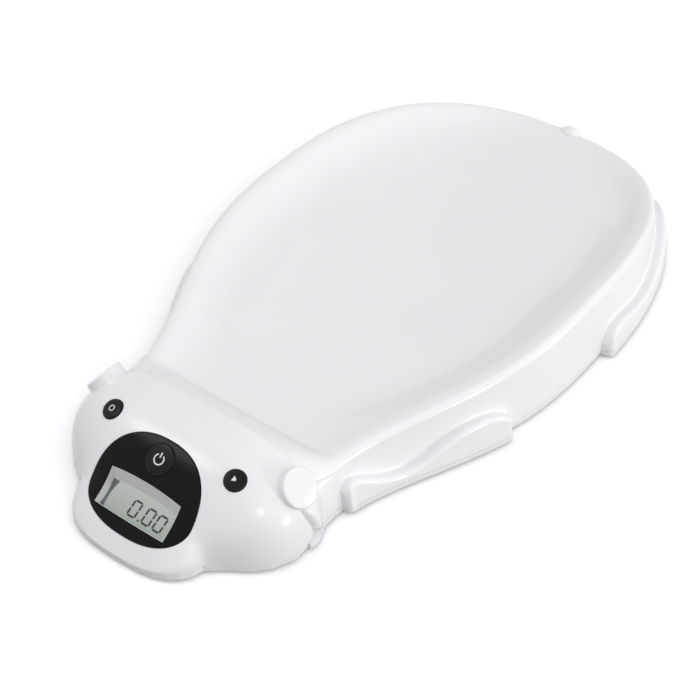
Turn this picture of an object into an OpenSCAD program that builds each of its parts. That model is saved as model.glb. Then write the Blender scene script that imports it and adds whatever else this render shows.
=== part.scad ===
// Digital baby weighing scale: a one-piece moulded tray with a rounded
// animal head that carries the display and keys, standing on four
// weighing feet. Lengths along the scale are measured from the snout.

/* [Overall] */
// Length of the scale from snout to tail
overall_len = 580; // [560:5:620]
// Width of the tray body at its widest
body_w = 308; // [296:2:330]
// Width of the neck behind the head
neck_w = 186; // [180:2:196]
// Distance of the neck behind the snout
neck_s = 110; // [106:1:114]
// Distance of the widest place in front of the tail
tail_len = 226; // [200:2:240]
// Width of the head across the cheeks
cheek_w = 200; // [196:2:206]
// Distance of the cheeks behind the snout
cheek_s = 83; // [80:1:86]
// Reach of a cheek in front of and behind its widest place
cheek_reach = 55; // [50:1:60]
// Width of the snout
snout_w = 116; // [108:2:124]
// Length of the rounded snout
snout_len = 44; // [38:1:50]

/* [Tray] */
// Height of the rim at its highest
rim_h = 62; // [56:1:70]
// Height of the rim at the neck
rim_neck_h = 38; // [34:1:42]
// Height of the rim at the tail
rim_tail_h = 36; // [33:1:42]
// Distance of the highest rim in front of the tail
rim_peak = 190; // [160:5:230]
// Radius of the rounded rim
rim_r = 6; // [4:0.5:8]
// Lean of the side walls between seam and rim
draft = 4; // [1:0.5:7]
// Height of the tray floor
floor_h = 29; // [27:1:32]
// Width of the slope from the rim down to half the tray depth
slope_w = 17; // [12:1:24]

/* [Head] */
// Height of the top of the head
head_h = 68; // [64:1:74]
// Distance of the top of the head behind the snout
head_s = 104; // [100:1:108]
// Swell of the forehead above the line from snout to crown
brow = 5; // [0:0.5:7]
// Ear radius
ear_r = 14.5; // [12:0.5:16]
// Ear thickness
ear_t = 8; // [6:0.5:10]

/* [Shell] */
// Wall thickness of the two shells
wall = 2.5; // [2:0.1:3]
// Height of the seam between the shells
seam_h = 7.5; // [6.5:0.5:9]
// Gap at the seam and round inserted pieces
gap = 0.3; // [0.2:0.05:0.5]
// Height of the base shell above the floor
foot_clear = 3; // [2.5:0.5:4]
// How far the arms and legs stand out
limb_t = 9; // [7:0.5:11]

/* [Display panel] */
// Distance of the display centre behind the snout
lcd_s = 28; // [26:1:30]
// Slope of the display in degrees
panel_tilt = 36; // [32:1:40]
// Width of the display window
window_w = 62; // [56:1:64]
// Height of the display window
window_h = 26; // [22:1:28]
// Depth of the display below the panel
window_d = 5; // [4:0.5:6]
// Distance of the main key from the display centre, up the slope
key_v = 33.5; // [32:0.5:35]
// Half width of the black panel
panel_r = 45; // [43.5:0.5:46]
// Reach of the panel below its widest place
panel_low = 28.5; // [28:0.5:30]
// Reach of the panel above its widest place
panel_high = 44; // [43:0.5:45]
// Thickness of the black panel
panel_t = 2.2; // [1.8:0.1:2.6]
// Thickness of the main circuit board
board_t = 1.6; // [1.2:0.2:2]

/* [Keys] */
// Diameter of the main key
main_key_d = 23; // [20:0.5:24]
// Diameter of the two side keys
side_key_d = 16; // [14:0.5:17]
// Distance of each side key from the middle
side_key_x = 56; // [54:0.5:60]
// Distance of the side keys behind the snout
side_key_s = 67; // [65:1:70]
// Travel of the keys
key_travel = 1; // [0.6:0.1:1.4]
// Gap round a key in its hole
key_gap = 0.35; // [0.3:0.05:0.6]

/* [Feet] */
// Diameter of a foot
foot_d = 30; // [26:1:34]
// Thickness of the rubber pad
pad_t = 2.5; // [2:0.1:3]
// Distance of the front feet from the middle
front_foot_x = 60; // [56:1:62]
// Distance of the front feet behind the snout
front_foot_s = 84; // [80:1:90]
// Distance of the rear feet inside the widest side
rear_foot_in = 58; // [52:2:70]
// Distance of the rear feet in front of the tail
rear_foot_tail = 110; // [100:2:130]

/* [Battery case] */
// Diameter of a battery cell
cell_d = 14.2; // [13.8:0.1:14.5]
// Length of a battery cell
cell_len = 50; // [48:0.5:51]
// Distance of the battery case centre behind the snout
case_s = 200; // [190:2:230]

/* [Hidden] */
$fn = 48;

white = "#F2F4F6";
shade = "#E4E6EA";
black = "#101114";
grey = "#B9BCBE";

// ---- Plan outline: half width at a distance s from the snout ----

wide_s = overall_len - tail_len;
rim_s = overall_len - rim_peak;
SNOUT_P = 2.9;
CHEEK_P = 2.2;
TAIL_P = 2.4;
BODY_SKEW = 1.3;
BLEND_P = 6;

function mix(a, b, u) = a + (b - a) * u;
function ease(a, b, v) =
    let (u = min(1, max(0, (v - a) / (b - a)))) u * u * (3 - 2 * u);
// Height of a unit super-ellipse with exponent p over u
function oval(u, p) = pow(max(0, 1 - pow(min(1, abs(u)), p)), 1 / p);

function snout_x(s) = snout_w / 2 * oval((snout_len - min(s, snout_len)) / snout_len, SNOUT_P);
function cheek_x(s) = cheek_w / 2 * oval((s - cheek_s) / cheek_reach, CHEEK_P);
function head_x(s) = pow(pow(snout_x(s), BLEND_P) + pow(cheek_x(s), BLEND_P), 1 / BLEND_P);
function front_body_x(s) =
    let (u = pow(min(1, (wide_s - s) / (wide_s - neck_s)), BODY_SKEW))
    (body_w + neck_w) / 4 + (body_w - neck_w) / 4 * cos(180 * u);
function body_x(s) =
    s > wide_s ? body_w / 2 * oval((s - wide_s) / tail_len, TAIL_P) : front_body_x(s);
function half_w(s) = mix(head_x(s), body_x(s), ease(cheek_s + 8, neck_s + 8, s));

// ---- Heights ----

DOME_P = 3.1;
HEAD_P = 1.75;
brow_s = 25;
SLOPE_P = 2.5;
neck_rise = 8;
neck_rise_len = 110;
// The head's dome gives way to the tray between these two places
blend_a = head_s + 4;
blend_b = head_s + 36;
ridge_in = draft + rim_r;

// Head height along the middle line
function crown(s) = let (u = min(1, max(0, (s - brow_s) / (head_s - brow_s))))
    seam_h + (head_h - seam_h) * (1 - pow(max(0, (head_s - s) / head_s), HEAD_P))
    + brow * pow(sin(180 * u), 2);
function rim_at(s) = s < rim_s
    ? rim_h - (rim_h - rim_neck_h) * pow((rim_s - s) / (rim_s - neck_s), 2)
    : rim_h - (rim_h - rim_tail_h) * pow((s - rim_s) / (overall_len - rim_s), 2);
function floor_at(s) =
    floor_h + neck_rise * pow(max(0, (neck_s + neck_rise_len - s) / neck_rise_len), 2);
function head_share(s) = 1 - ease(blend_a, blend_b, s);
// Share of the tray depth reached at q inward from the ridge
function sink(q) = 1 - 1 / (1 + pow(max(0, q) / slope_w, SLOPE_P));

function head_z(x, s, t) = seam_h
    + (crown(s) - t - seam_h) * oval(x / max(1, half_w(s) - t), DOME_P);
// Radial share of the tail's super-ellipse at (x, s)
function tail_share(x, s) = pow(pow(abs(x) / (body_w / 2), TAIL_P)
    + pow(max(0, s - wide_s) / tail_len, TAIL_P), 1 / TAIL_P);
function tray_z(x, s) = let (
    k = s > wide_s ? max(0.01, tail_share(x, s)) : 1,
    r = s > wide_s ? norm([x, s - wide_s]) : abs(x),
    reach = s > wide_s ? r / k : half_w(s),
    rim = rim_at(s > wide_s ? wide_s + (s - wide_s) / k : s))
    mix(rim, floor_at(s), sink(reach - r - ridge_in));
// Height of the outside of the top shell over the point (x, s)
function skin_z(x, s) = mix(tray_z(x, s), head_z(x, s, 0), head_share(s));

// ---- Rings of points round the plan ----

fan_s = 58;
FRONT_N = 9;
MID_N = 17;
REAR_N = 10;
last_i = FRONT_N + MID_N + REAR_N;

// [half width, place, place of the spine point] of one station
function station(i) =
    i <= FRONT_N ? let (s = fan_s * (1 - cos(90 * i / FRONT_N))) [i == 0 ? 0 : half_w(s), s, fan_s]
    : i <= FRONT_N + MID_N ? let (s = mix(fan_s, wide_s, (i - FRONT_N) / MID_N)) [half_w(s), s, s]
    : i == last_i ? [0, overall_len, wide_s]
    : let (a = 90 * (i - FRONT_N - MID_N) / REAR_N)
        [body_w / 2 * pow(cos(a), 2 / TAIL_P), wide_s + tail_len * pow(sin(a), 2 / TAIL_P), wide_s];
STATIONS = [for (i = [0 : last_i]) station(i)];

// A point on station st, moved inward by d from the outline
function inward(st, d) = let (
    v = [st[0], st[1] - st[2]],
    r = norm(v),
    f = max(0.02, 1 - d / r))
    [v[0] * f, st[2] + v[1] * f];
function mirrored(half) = concat(half,
    [for (i = [len(half) - 2 : -1 : 1]) [-half[i][0], half[i][1], half[i][2]]]);
function outline(d) = [for (p = mirrored([for (st = STATIONS)
    concat(inward(st, d), 0)])) [p[0], p[1]]];

// ---- Top shell surface ----

WALL_N = 2;
ROUND_N = 3;
INNER_N = 8;
last_k = WALL_N + ROUND_N + INNER_N;
SPINE_SHARE = 0.1;
STEP_P = 1.5;

// [inset, height] of ring k on station st of the tray, t under the outside
function tray_ring(st, k, t) = let (
    reach = norm([st[0], st[1] - st[2]]),
    rim = rim_at(st[1]),
    r = rim_r - t,
    a = 90 * (k - WALL_N) / ROUND_N,
    e = pow((k - WALL_N - ROUND_N) / INNER_N, STEP_P),
    q = e * (reach * (1 - SPINE_SHARE) - ridge_in),
    p = inward(st, ridge_in + q))
    k == 0 ? [t, seam_h]
    : k <= WALL_N ? [t + draft * k / WALL_N, mix(seam_h, rim - rim_r, k / WALL_N)]
    : k <= WALL_N + ROUND_N ? [ridge_in - r * cos(a), rim - rim_r + r * sin(a)]
    : [ridge_in + q, mix(rim, floor_at(p[1]), sink(q)) - t];

// The same for the head, where the ring lies on the dome
function head_ring(st, k, t) = let (
    reach = norm([st[0], st[1] - st[2]]),
    a = 88.6 * k / last_k,
    f = pow(cos(a), 2 / DOME_P),
    d = reach - (reach - t) * f,
    p = inward(st, d))
    k == 0 ? [t, seam_h]
    : [d, max(seam_h + 0.02 * k, head_z(p[0], p[1], t))];

function ring_point(st, k, t) = let (
    h = head_share(st[1]),
    a = h > 0 ? head_ring(st, k, t) : [0, 0],
    b = h < 1 ? tray_ring(st, k, t) : [0, 0],
    m = a * h + b * (1 - h),
    p = inward(st, m[0]))
    [p[0], p[1], m[1]];
function shell_ring(k, t) = mirrored([for (st = STATIONS) ring_point(st, k, t)]);

// Triangles between ring a and ring b of n points
function band(a, b, n) = [for (i = [0 : n - 1], h = [0, 1]) let (j = (i + 1) % n)
    h == 0 ? [a * n + i, b * n + i, a * n + j] : [a * n + j, b * n + i, b * n + j]];
// Rungs that close ring a across the middle line
function ladder(a, n) = [for (i = [0 : n / 2 - 1], h = [0, 1])
    let (l0 = (n - i) % n, l1 = n - i - 1)
    if (!(i == 0 && h == 1) && !(i == n / 2 - 1 && h == 0))
    h == 0 ? [a * n + i, a * n + l1, a * n + i + 1] : [a * n + i, a * n + l0, a * n + l1]];
function flipped(faces) = [for (f = faces) [f[0], f[2], f[1]]];

// The hollow skin between the outside and t under it
module skin(t) {
    n = 2 * last_i;
    outer = [for (k = [0 : last_k]) shell_ring(k, 0)];
    inner = [for (k = [last_k : -1 : 0]) shell_ring(k, t)];
    rings = concat(outer, inner);
    m = len(rings);
    points = [for (r = rings, p = r) p];
    faces = concat(
        [for (k = [0 : last_k - 1]) each band(k, k + 1, n)],
        ladder(last_k, n),
        flipped(ladder(last_k + 1, n)),
        [for (k = [last_k + 1 : m - 2]) each band(k, k + 1, n)],
        band(m - 1, 0, n));
    polyhedron(points, faces, convexity = 8);
}

module from_snout() {
    translate([0, -overall_len / 2, 0]) children();
}
module both_sides() {
    children();
    mirror([1, 0, 0]) children();
}

// ---- Arms, legs and shoulders: bands that follow the side wall ----

arm_s = 131;
arm_end_s = 267;
leg_s = overall_len - 200;
leg_end_s = overall_len - 26;
shoulder_s = 89;
shoulder_end_s = arm_s;
LIMB_N = 18;
END_N = 5;
end_r = 5;
edge_out = 0.4;
// Top edge over the share of the length: [share, height]
ARM_TOP = [[0, 21], [0.04, 26], [0.12, 25], [0.24, 17], [0.38, 14], [0.5, 18],
    [0.62, 26], [0.74, 31], [0.86, 31], [0.94, 27], [1, 19]];
LEG_TOP = [[0, 14], [0.04, 23], [0.12, 26], [0.24, 22], [0.4, 19], [0.6, 22],
    [0.78, 27], [0.92, 26], [1, 16]];
SHOULDER_TOP = [[0, 39], [0.5, 39], [1, 36]];
// Lower edge over the share of the length
FLAT_FOOT = [[0, seam_h], [1, seam_h]];
SHOULDER_FOOT = [[0, 33], [0.16, 13], [0.27, seam_h], [1, seam_h]];
// Thickness of the shoulder over the share of its length; arms and legs have rounded ends instead
SHOULDER_OUT = [[0, 2], [0.2, 5], [0.35, 5.5], [0.7, 3.5], [1, 2.5]];

// Places of the sections of a limb, closer together at its ends
function limb_places(s0, s1) = concat(
    [for (i = [0 : END_N - 1]) s0 + end_r * (1 - cos(90 * i / END_N))],
    [for (i = [0 : LIMB_N]) mix(s0 + end_r, s1 - end_r, i / LIMB_N)],
    [for (i = [END_N - 1 : -1 : 0]) s1 - end_r * (1 - cos(90 * i / END_N))]);
// How far a limb stands out at place s
function limb_out(s, s0, s1, out_at) = is_undef(out_at)
    ? let (u = min(1, min(s - s0, s1 - s) / end_r)) max(edge_out, limb_t * sqrt(max(0, 1 - pow(1 - u, 2))))
    : lookup((s - s0) / (s1 - s0), out_at);

// Outline point at place s and its outward normal
function edge_point(s) = [s > wide_s ? body_x(s) : half_w(s), s];
function edge_normal(s) = let (d = edge_point(s + 0.5) - edge_point(s - 0.5)) [d[1], -d[0]] / norm(d);
// How far the side has moved inward at height z
function side_in(s, z) = mix(
    draft * (z - seam_h) / max(8, rim_at(s) - rim_r - seam_h),
    half_w(min(s, wide_s)) * (1 - oval((z - seam_h) / (crown(s) - seam_h), DOME_P)),
    head_share(s));

module limb(s0, s1, top, foot, out_at) {
    skin_in = wall / 2;
    soft = 3;
    CORNERS = 6;
    places = limb_places(s0, s1);
    last = len(places) - 1;
    sections = [for (s = places) let (
        u = (s - s0) / (s1 - s0),
        e = edge_point(s),
        nrm = edge_normal(s),
        low = lookup(u, foot),
        z = max(low + soft + 1, lookup(u, top)),
        out = limb_out(s, s0, s1, out_at),
        r = min(soft, out),
        lean_low = side_in(s, low),
        lean = side_in(s, z),
        shape = [[-lean_low - skin_in, low], [out - lean_low, low], [out - lean_low, z - soft],
            [out - lean_low - 0.3 * r, z - 0.3 * soft], [out - lean_low - r, z],
            [-lean - skin_in, z]])
        [for (c = shape) [e[0] + nrm[0] * c[0], e[1] + nrm[1] * c[0], c[1]]]];
    points = [for (r = sections, p = r) p];
    cap = [[0, 1, 2], [0, 2, 3], [0, 3, 4], [0, 4, 5]];
    faces = concat(
        [for (k = [0 : last - 1]) each flipped(band(k, k + 1, CORNERS))],
        flipped(cap),
        [for (f = cap) f + last * CORNERS * [1, 1, 1]]);
    polyhedron(points, faces, convexity = 4);
}

// Plan of a limb, for the base shell that runs under it
function limb_plan(s0, s1, out_at) = let (places = limb_places(s0, s1)) concat(
    [for (s = places) edge_point(s) + edge_normal(s) * limb_out(s, s0, s1, out_at)],
    [for (i = [len(places) - 1 : -1 : 0]) edge_point(places[i]) - edge_normal(places[i]) * wall]);

// ---- Ears and tail ----

ear_tilt = 50;
ear_s = 93;
ear_x = 87;
ear_sunk = 2;
module ear() {
    translate([ear_x, ear_s, skin_z(ear_x, ear_s)])
        rotate([0, ear_tilt, 0])
        translate([0, 0, -ear_sunk]) cylinder(r = ear_r, h = ear_t);
}
module tail() {
    tail_r = 9;
    translate([0, overall_len - ridge_in + 2, rim_tail_h - 1])
        scale([1, 0.7, 0.55]) sphere(r = tail_r, $fn = 20);
}

// ---- Frames of the display and keys on the head ----

lcd_z = skin_z(0, lcd_s);
// z points out of the display, y up the slope
module on_panel() {
    translate([0, lcd_s, lcd_z]) rotate([panel_tilt, 0, 0]) children();
}
// Height of the shell's outside over the display's plane at (x, v), found in steps
function skin_n(x, v, n = 0, steps = 5) = steps == 0 ? n : let (
    s = lcd_s + v * cos(panel_tilt) - n * sin(panel_tilt),
    z = lcd_z + v * sin(panel_tilt) + n * cos(panel_tilt))
    skin_n(x, v, n + (skin_z(x, s) - z) * cos(panel_tilt), steps - 1);
key_n = skin_n(0, key_v);
key_s = lcd_s + key_v * cos(panel_tilt) - key_n * sin(panel_tilt);
key_tilt = atan(crown(key_s + 0.5) - crown(key_s - 0.5));
module on_main_key() {
    translate([0, key_s, skin_z(0, key_s)]) rotate([key_tilt, 0, 0]) children();
}
side_key_z = skin_z(side_key_x, side_key_s);
side_rise = skin_z(side_key_x, side_key_s + 0.5) - skin_z(side_key_x, side_key_s - 0.5);
side_fall = skin_z(side_key_x - 0.5, side_key_s) - skin_z(side_key_x + 0.5, side_key_s);
side_tilt = asin(side_rise / norm([1, side_rise, side_fall]));
side_lean = atan(side_fall);
module on_side_key() {
    translate([side_key_x, side_key_s, side_key_z]) rotate([side_tilt, side_lean, 0]) children();
}

// ---- Stack of the display, below the middle of the window ----

lining_t = 1.2;
lining_top = 0.6;
glass_t = 2.2;
// Corners of the opening over the glass, which the lining's walls slope down to
SIGHT = [[3 - window_w / 2, 1 - window_h / 2], [window_w / 2 - 1, window_h / 2 - 5.5]];
glass_over = 1;
connector_h = 2.2;
board_top = window_d + glass_t + connector_h;
board_low_v = 24;
board_high_v = 45;
board_half = 38;
wing_half = 58;
wing_v = 22;
wing_x = 53;
switch_h = 3.2;
switch_w = 6;
press_gap = 0.15;
key_skirt = 4.2;
key_flange_t = 1.2;
key_flange = 0.9;
key_nub = board_top - switch_h + key_n - key_skirt - key_travel - press_gap;
side_skirt = wall + 4.6;
side_board = side_skirt + key_travel + press_gap + 0.3 + switch_h;
side_post_y = side_key_d / 2 + 3.9;
post_r = 2.2;
panel_post_r = 2.6;
pilot_r = 0.9;

// ---- Display panel ----

panel_v = 4.5;
panel_lip = 0.6;
flange_w = 3;
flange_top = wall + 0.9;
flange_low = flange_top + 1.6;
PANEL_N = 40;
EGG_P = 2.3;
function swell(c) = sign(c) * pow(abs(c), 2 / EGG_P);
// Egg-shaped edge of the panel in the display's plane, moved outward by d
function panel_edge(a, d) = [(panel_r + d) * swell(sin(a)),
    panel_v - ((cos(a) > 0 ? panel_low : panel_high) + d) * swell(cos(a))];
// [distance outward from the edge, height over the shell's outside] of each ring
PANEL_RINGS = [[-24, panel_lip], [-16, panel_lip], [-8, panel_lip], [-2, panel_lip - 0.05],
    [-0.6, panel_lip / 2], [0, -0.2], [0, -flange_top], [flange_w, -flange_top],
    [flange_w, -flange_low], [-1, -flange_low], [-1.2, panel_lip - panel_t],
    [-8, panel_lip - panel_t], [-16, panel_lip - panel_t], [-24, panel_lip - panel_t]];
// Screw posts behind the panel: [distance from the middle, v]
panel_posts_at = [[12, -20.5], [21, 39]];

module panel_blank() {
    m = len(PANEL_RINGS);
    points = concat(
        [for (r = PANEL_RINGS, i = [0 : PANEL_N - 1]) let (p = panel_edge(360 * i / PANEL_N, r[0]))
            [p[0], p[1], skin_n(p[0], p[1]) + r[1]]],
        [for (h = [panel_lip, panel_lip - panel_t]) [0, panel_v, skin_n(0, panel_v) + h]]);
    top = m * PANEL_N;
    faces = concat(
        [for (k = [0 : m - 2]) each flipped(band(k, k + 1, PANEL_N))],
        [for (i = [0 : PANEL_N - 1]) [top, (i + 1) % PANEL_N, i]],
        [for (i = [0 : PANEL_N - 1]) [top + 1, (m - 1) * PANEL_N + i, (m - 1) * PANEL_N + (i + 1) % PANEL_N]]);
    on_panel() polyhedron(points, faces, convexity = 4);
}
module at_panel_posts() {
    for (p = panel_posts_at, side = [-1, 1]) on_panel() translate([side * p[0], p[1], -board_top]) children();
}
module panel_posts() {
    for (p = panel_posts_at, side = [-1, 1]) on_panel() translate([side * p[0], p[1], -board_top])
        cylinder(r = panel_post_r, h = board_top + skin_n(p[0], p[1]) - panel_t + panel_lip + 0.8, $fn = 24);
}
module display_panel() {
    lining = lining_t + gap;
    color(black) from_snout() difference() {
        union() {
            panel_blank();
            panel_posts();
        }
        on_panel() translate([-window_w / 2 - lining, -window_h / 2 - lining, -window_d - 3])
            cube([window_w + 2 * lining, window_h + 2 * lining, window_d + 10]);
        on_main_key() translate([0, 0, -12]) cylinder(d = main_key_d + 2 * key_gap, h = 24);
        at_panel_posts() translate([0, 0, -1]) cylinder(r = pilot_r, h = 5, $fn = 24);
    }
}

// ---- Top shell ----

case_screws_at = [[62, 50], [72, 150], [84, overall_len - 340], [100, overall_len - 250],
    [84, overall_len - 160], [44, overall_len - 50]];
boss_r = 4;
boss_low = seam_h + 2.3;
boss_bore_r = 1.5;
boss_bore_h = 10;
lip_h = 4;
lip_t = 2;

function boss_top(x, s) = min([for (d = [[-boss_r, 0], [boss_r, 0], [0, -boss_r], [0, boss_r]])
    skin_z(x + d[0], s + d[1])]) - 0.7;
module at_case_screws() {
    for (p = case_screws_at, side = [-1, 1]) translate([side * p[0], p[1], 0]) children();
}
module top_bosses() {
    for (p = case_screws_at, side = [-1, 1])
        translate([side * p[0], p[1], boss_low])
            cylinder(r = boss_r, h = boss_top(p[0], p[1]) - boss_low, $fn = 24);
}
module side_posts(r, low, high) {
    for (v = [-side_post_y, side_post_y])
        on_side_key() translate([0, v, low]) cylinder(r = r, h = high - low, $fn = 24);
}
module at_wing_posts() {
    on_panel() translate([wing_x, wing_v, -board_top]) children();
}

module top_shell() {
    color(white) from_snout() difference() {
        union() {
            skin(wall);
            both_sides() {
                limb(arm_s, arm_end_s, ARM_TOP, FLAT_FOOT);
                limb(leg_s, leg_end_s, LEG_TOP, FLAT_FOOT);
                limb(shoulder_s, shoulder_end_s, SHOULDER_TOP, SHOULDER_FOOT, SHOULDER_OUT);
                ear();
                side_posts(post_r, -side_board, -2.3);
                at_wing_posts() cylinder(r = panel_post_r, h = board_top + skin_n(wing_x, wing_v) - 1.6, $fn = 24);
            }
            tail();
            top_bosses();
        }
        on_panel() translate([0, 0, -board_top - 2]) linear_extrude(30)
            polygon([for (i = [0 : PANEL_N - 1]) panel_edge(360 * i / PANEL_N, gap)]);
        both_sides() {
            on_side_key() translate([0, 0, -side_skirt - 2]) cylinder(d = side_key_d + 2 * key_gap, h = 16);
            side_posts(pilot_r, -side_board - 1, -side_board + 4);
            at_wing_posts() translate([0, 0, -1]) cylinder(r = pilot_r, h = 5, $fn = 24);
        }
        at_case_screws() translate([0, 0, boss_low - 1]) cylinder(r = boss_bore_r, h = boss_bore_h, $fn = 24);
    }
}

// ---- Weighing feet ----

floor_top = foot_clear + wall;
foot_rim = 2;
foot_hole_d = foot_d + 2;
holder_w = 50;
holder_hole_d = foot_d + 6;
cell_w = foot_d + 12;
cell_t = 2;
cell_z = floor_top + 3.8;
holder_top = cell_z + cell_t + 0.7;
ear_off = 5;
ear_low = floor_top + 4;
ear_high = ear_low + 2.5;
screw_r = 1.4;
screw_bore_r = 1.5;
screw_head_r = 2.8;
screw_head_h = 2;
rear_foot_x = body_w / 2 - rear_foot_in;
feet_at = [[-front_foot_x, front_foot_s], [front_foot_x, front_foot_s],
    [-rear_foot_x, overall_len - rear_foot_tail], [rear_foot_x, overall_len - rear_foot_tail]];
// The two screw ears of a holder lie on a diagonal that turns with the corner
function ear_places(i) = let (side = sign(feet_at[i][0]), d = holder_w / 2 - ear_off)
    [[-side * (d + 9), -d], [-side * (d + 9), d]];

module at_foot(i) {
    from_snout() translate([feet_at[i][0], feet_at[i][1], 0]) children();
}
module foot_pad(i) {
    color("#3A3C3F") at_foot(i) rotate_extrude()
        polygon([[0, 0], [foot_d / 2 - 2, 0], [foot_d / 2 - 1.4, 0.6], [foot_d / 2 - 1.4, pad_t], [0, pad_t]]);
}
module foot(i) {
    color(shade) at_foot(i) rotate_extrude() polygon([[0, pad_t], [foot_d / 2, pad_t],
        [foot_d / 2, floor_top + 0.3], [foot_d / 2 + foot_rim, floor_top + 0.3],
        [foot_d / 2 + foot_rim, floor_top + 1.6], [5, floor_top + 1.6], [5, cell_z - 0.1], [0, cell_z - 0.1]]);
}
// Spring-steel plate with a tongue that the foot bends
module load_cell(i) {
    frame_w = 5;
    tongue_w = 12;
    color("#C9CCD0") at_foot(i) translate([0, 0, cell_z]) linear_extrude(cell_t) difference() {
        square(cell_w - 2 * gap, center = true);
        difference() {
            square(cell_w - 2 * frame_w, center = true);
            translate([-tongue_w / 2, -cell_w / 2]) square([tongue_w, cell_w - frame_w - 4]);
        }
    }
}
module cell_holder(i) {
    color(white) at_foot(i) difference() {
        union() {
            translate([-holder_w / 2, -holder_w / 2, floor_top])
                cube([holder_w, holder_w, holder_top - floor_top]);
            for (p = ear_places(i)) translate([p[0], p[1], ear_low])
                cylinder(r = 4, h = ear_high - ear_low);
            for (p = ear_places(i)) translate([min(p[0], 0), p[1] - 4, ear_low])
                cube([abs(p[0]), 8, ear_high - ear_low]);
        }
        translate([0, 0, floor_top - 1]) cylinder(d = holder_hole_d, h = 20);
        translate([-cell_w / 2, -cell_w / 2, cell_z]) cube([cell_w, cell_w, 10]);
        for (p = ear_places(i)) translate([p[0], p[1], floor_top - 1]) cylinder(r = screw_bore_r, h = 20);
    }
}

// ---- Base shell ----

grille_r = 11;
speaker_s = 136;
speaker_r = 14;
speaker_h = 5;
case_wall = 2;
spring_room = 7;
cell_pitch = cell_d + 0.6;
case_w = 4 * cell_pitch + 1;
case_len = cell_len + spring_room + 2;
case_top = foot_clear + 2.4 + cell_d + 0.8;
case_front = case_s - case_len / 2;
case_back = case_s + case_len / 2;
door_t = 2;
tab_w = 4;
tab_x = cell_pitch;
tab_room = 2.6;
notch_w = 18;
notch_len = 7;
post_high = ear_low;
screw_post_r = 5;
head_bore_r = 3.5;
head_bore_h = 3.4;

// Outline of the base with the limbs
module base_plan() {
    polygon(outline(0));
    both_sides() {
        polygon(limb_plan(arm_s, arm_end_s));
        polygon(limb_plan(leg_s, leg_end_s));
        polygon(limb_plan(shoulder_s, shoulder_end_s, SHOULDER_OUT));
    }
}
lip_in = wall + gap + draft * lip_h / (rim_neck_h - rim_r - seam_h);
module base_lip() {
    start = snout_len + 4;
    intersection() {
        difference() {
            linear_extrude(seam_h + lip_h - 1) polygon(outline(lip_in));
            translate([0, 0, -1]) linear_extrude(seam_h + lip_h + 2) polygon(outline(lip_in + lip_t));
        }
        translate([-body_w, start, foot_clear]) cube([2 * body_w, overall_len, head_h]);
    }
}
module base_shell() {
    color(white) from_snout() difference() {
        union() {
            difference() {
                translate([0, 0, foot_clear]) linear_extrude(seam_h - gap - foot_clear) base_plan();
                translate([0, 0, floor_top]) linear_extrude(head_h) polygon(outline(wall + gap));
            }
            base_lip();
            translate([-case_w / 2 - case_wall, case_front - case_wall, foot_clear])
                cube([case_w + 2 * case_wall, case_len + 2 * case_wall, case_top + case_wall - foot_clear]);
            at_case_screws() translate([0, 0, foot_clear]) cylinder(r = screw_post_r, h = boss_low - gap - foot_clear);
            for (i = [0 : 3], p = ear_places(i)) translate([feet_at[i][0] + p[0], feet_at[i][1] + p[1], foot_clear])
                cylinder(r = 3.6, h = post_high - foot_clear);
            translate([0, speaker_s, foot_clear]) cylinder(r = speaker_r + gap + 1.6, h = wall + 3);
        }
        translate([0, speaker_s, floor_top]) cylinder(r = speaker_r + gap, h = 20);
        for (v = [-2 : 2]) let (half = sqrt(pow(grille_r, 2) - pow(4 * v, 2)))
            translate([-half, speaker_s + 4 * v - 0.8, foot_clear - 1]) cube([2 * half, 1.6, 6]);
        for (p = feet_at) translate([p[0], p[1], foot_clear - 1]) cylinder(d = foot_hole_d, h = 10);
        for (i = [0 : 3], p = ear_places(i)) translate([feet_at[i][0] + p[0], feet_at[i][1] + p[1], foot_clear + 1])
            cylinder(r = screw_bore_r, h = 20, $fn = 24);
        at_case_screws() {
            translate([0, 0, foot_clear - 1]) cylinder(r = head_bore_r, h = head_bore_h + 1);
            translate([0, 0, foot_clear - 1]) cylinder(r = screw_bore_r + 0.3, h = 20);
        }
        translate([-case_w / 2, case_front, foot_clear - 1]) cube([case_w, case_len, case_top - foot_clear + 1]);
        for (x = [-tab_x, tab_x]) translate([x - tab_w / 2 - 0.6, case_front - case_wall - 1, floor_top])
            cube([tab_w + 1.2, case_wall + 2, tab_room]);
        translate([-notch_w / 2, case_back - 1, foot_clear - 1]) cube([notch_w, notch_len + 1, 5]);
    }
}

// ---- Battery case ----

door_w = case_w - 2 * gap;
door_len = case_len - 2 * gap;
module battery_door() {
    tab_z = floor_top + 0.2;
    color(white) from_snout() {
        translate([-door_w / 2, case_front + gap, foot_clear]) cube([door_w, door_len, door_t]);
        for (x = [-tab_x, tab_x]) translate([x - tab_w / 2, 0, 0]) {
            translate([0, case_front + gap, foot_clear]) cube([tab_w, 2, tab_z + 1.3 - foot_clear]);
            translate([0, case_front - 1.9, tab_z]) cube([tab_w, 3.5, 1.3]);
        }
        // Snap tongue with its finger tab
        translate([-6, case_back - gap - 1.4, foot_clear]) cube([12, 1.4, 4]);
        translate([-6, case_back - gap - 1.4, foot_clear]) cube([12, 4.5, 1.4]);
    }
}
cell_axis_z = foot_clear + 2.4 + cell_d / 2;
function cell_x(i) = (i - 1.5) * cell_pitch;
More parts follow.
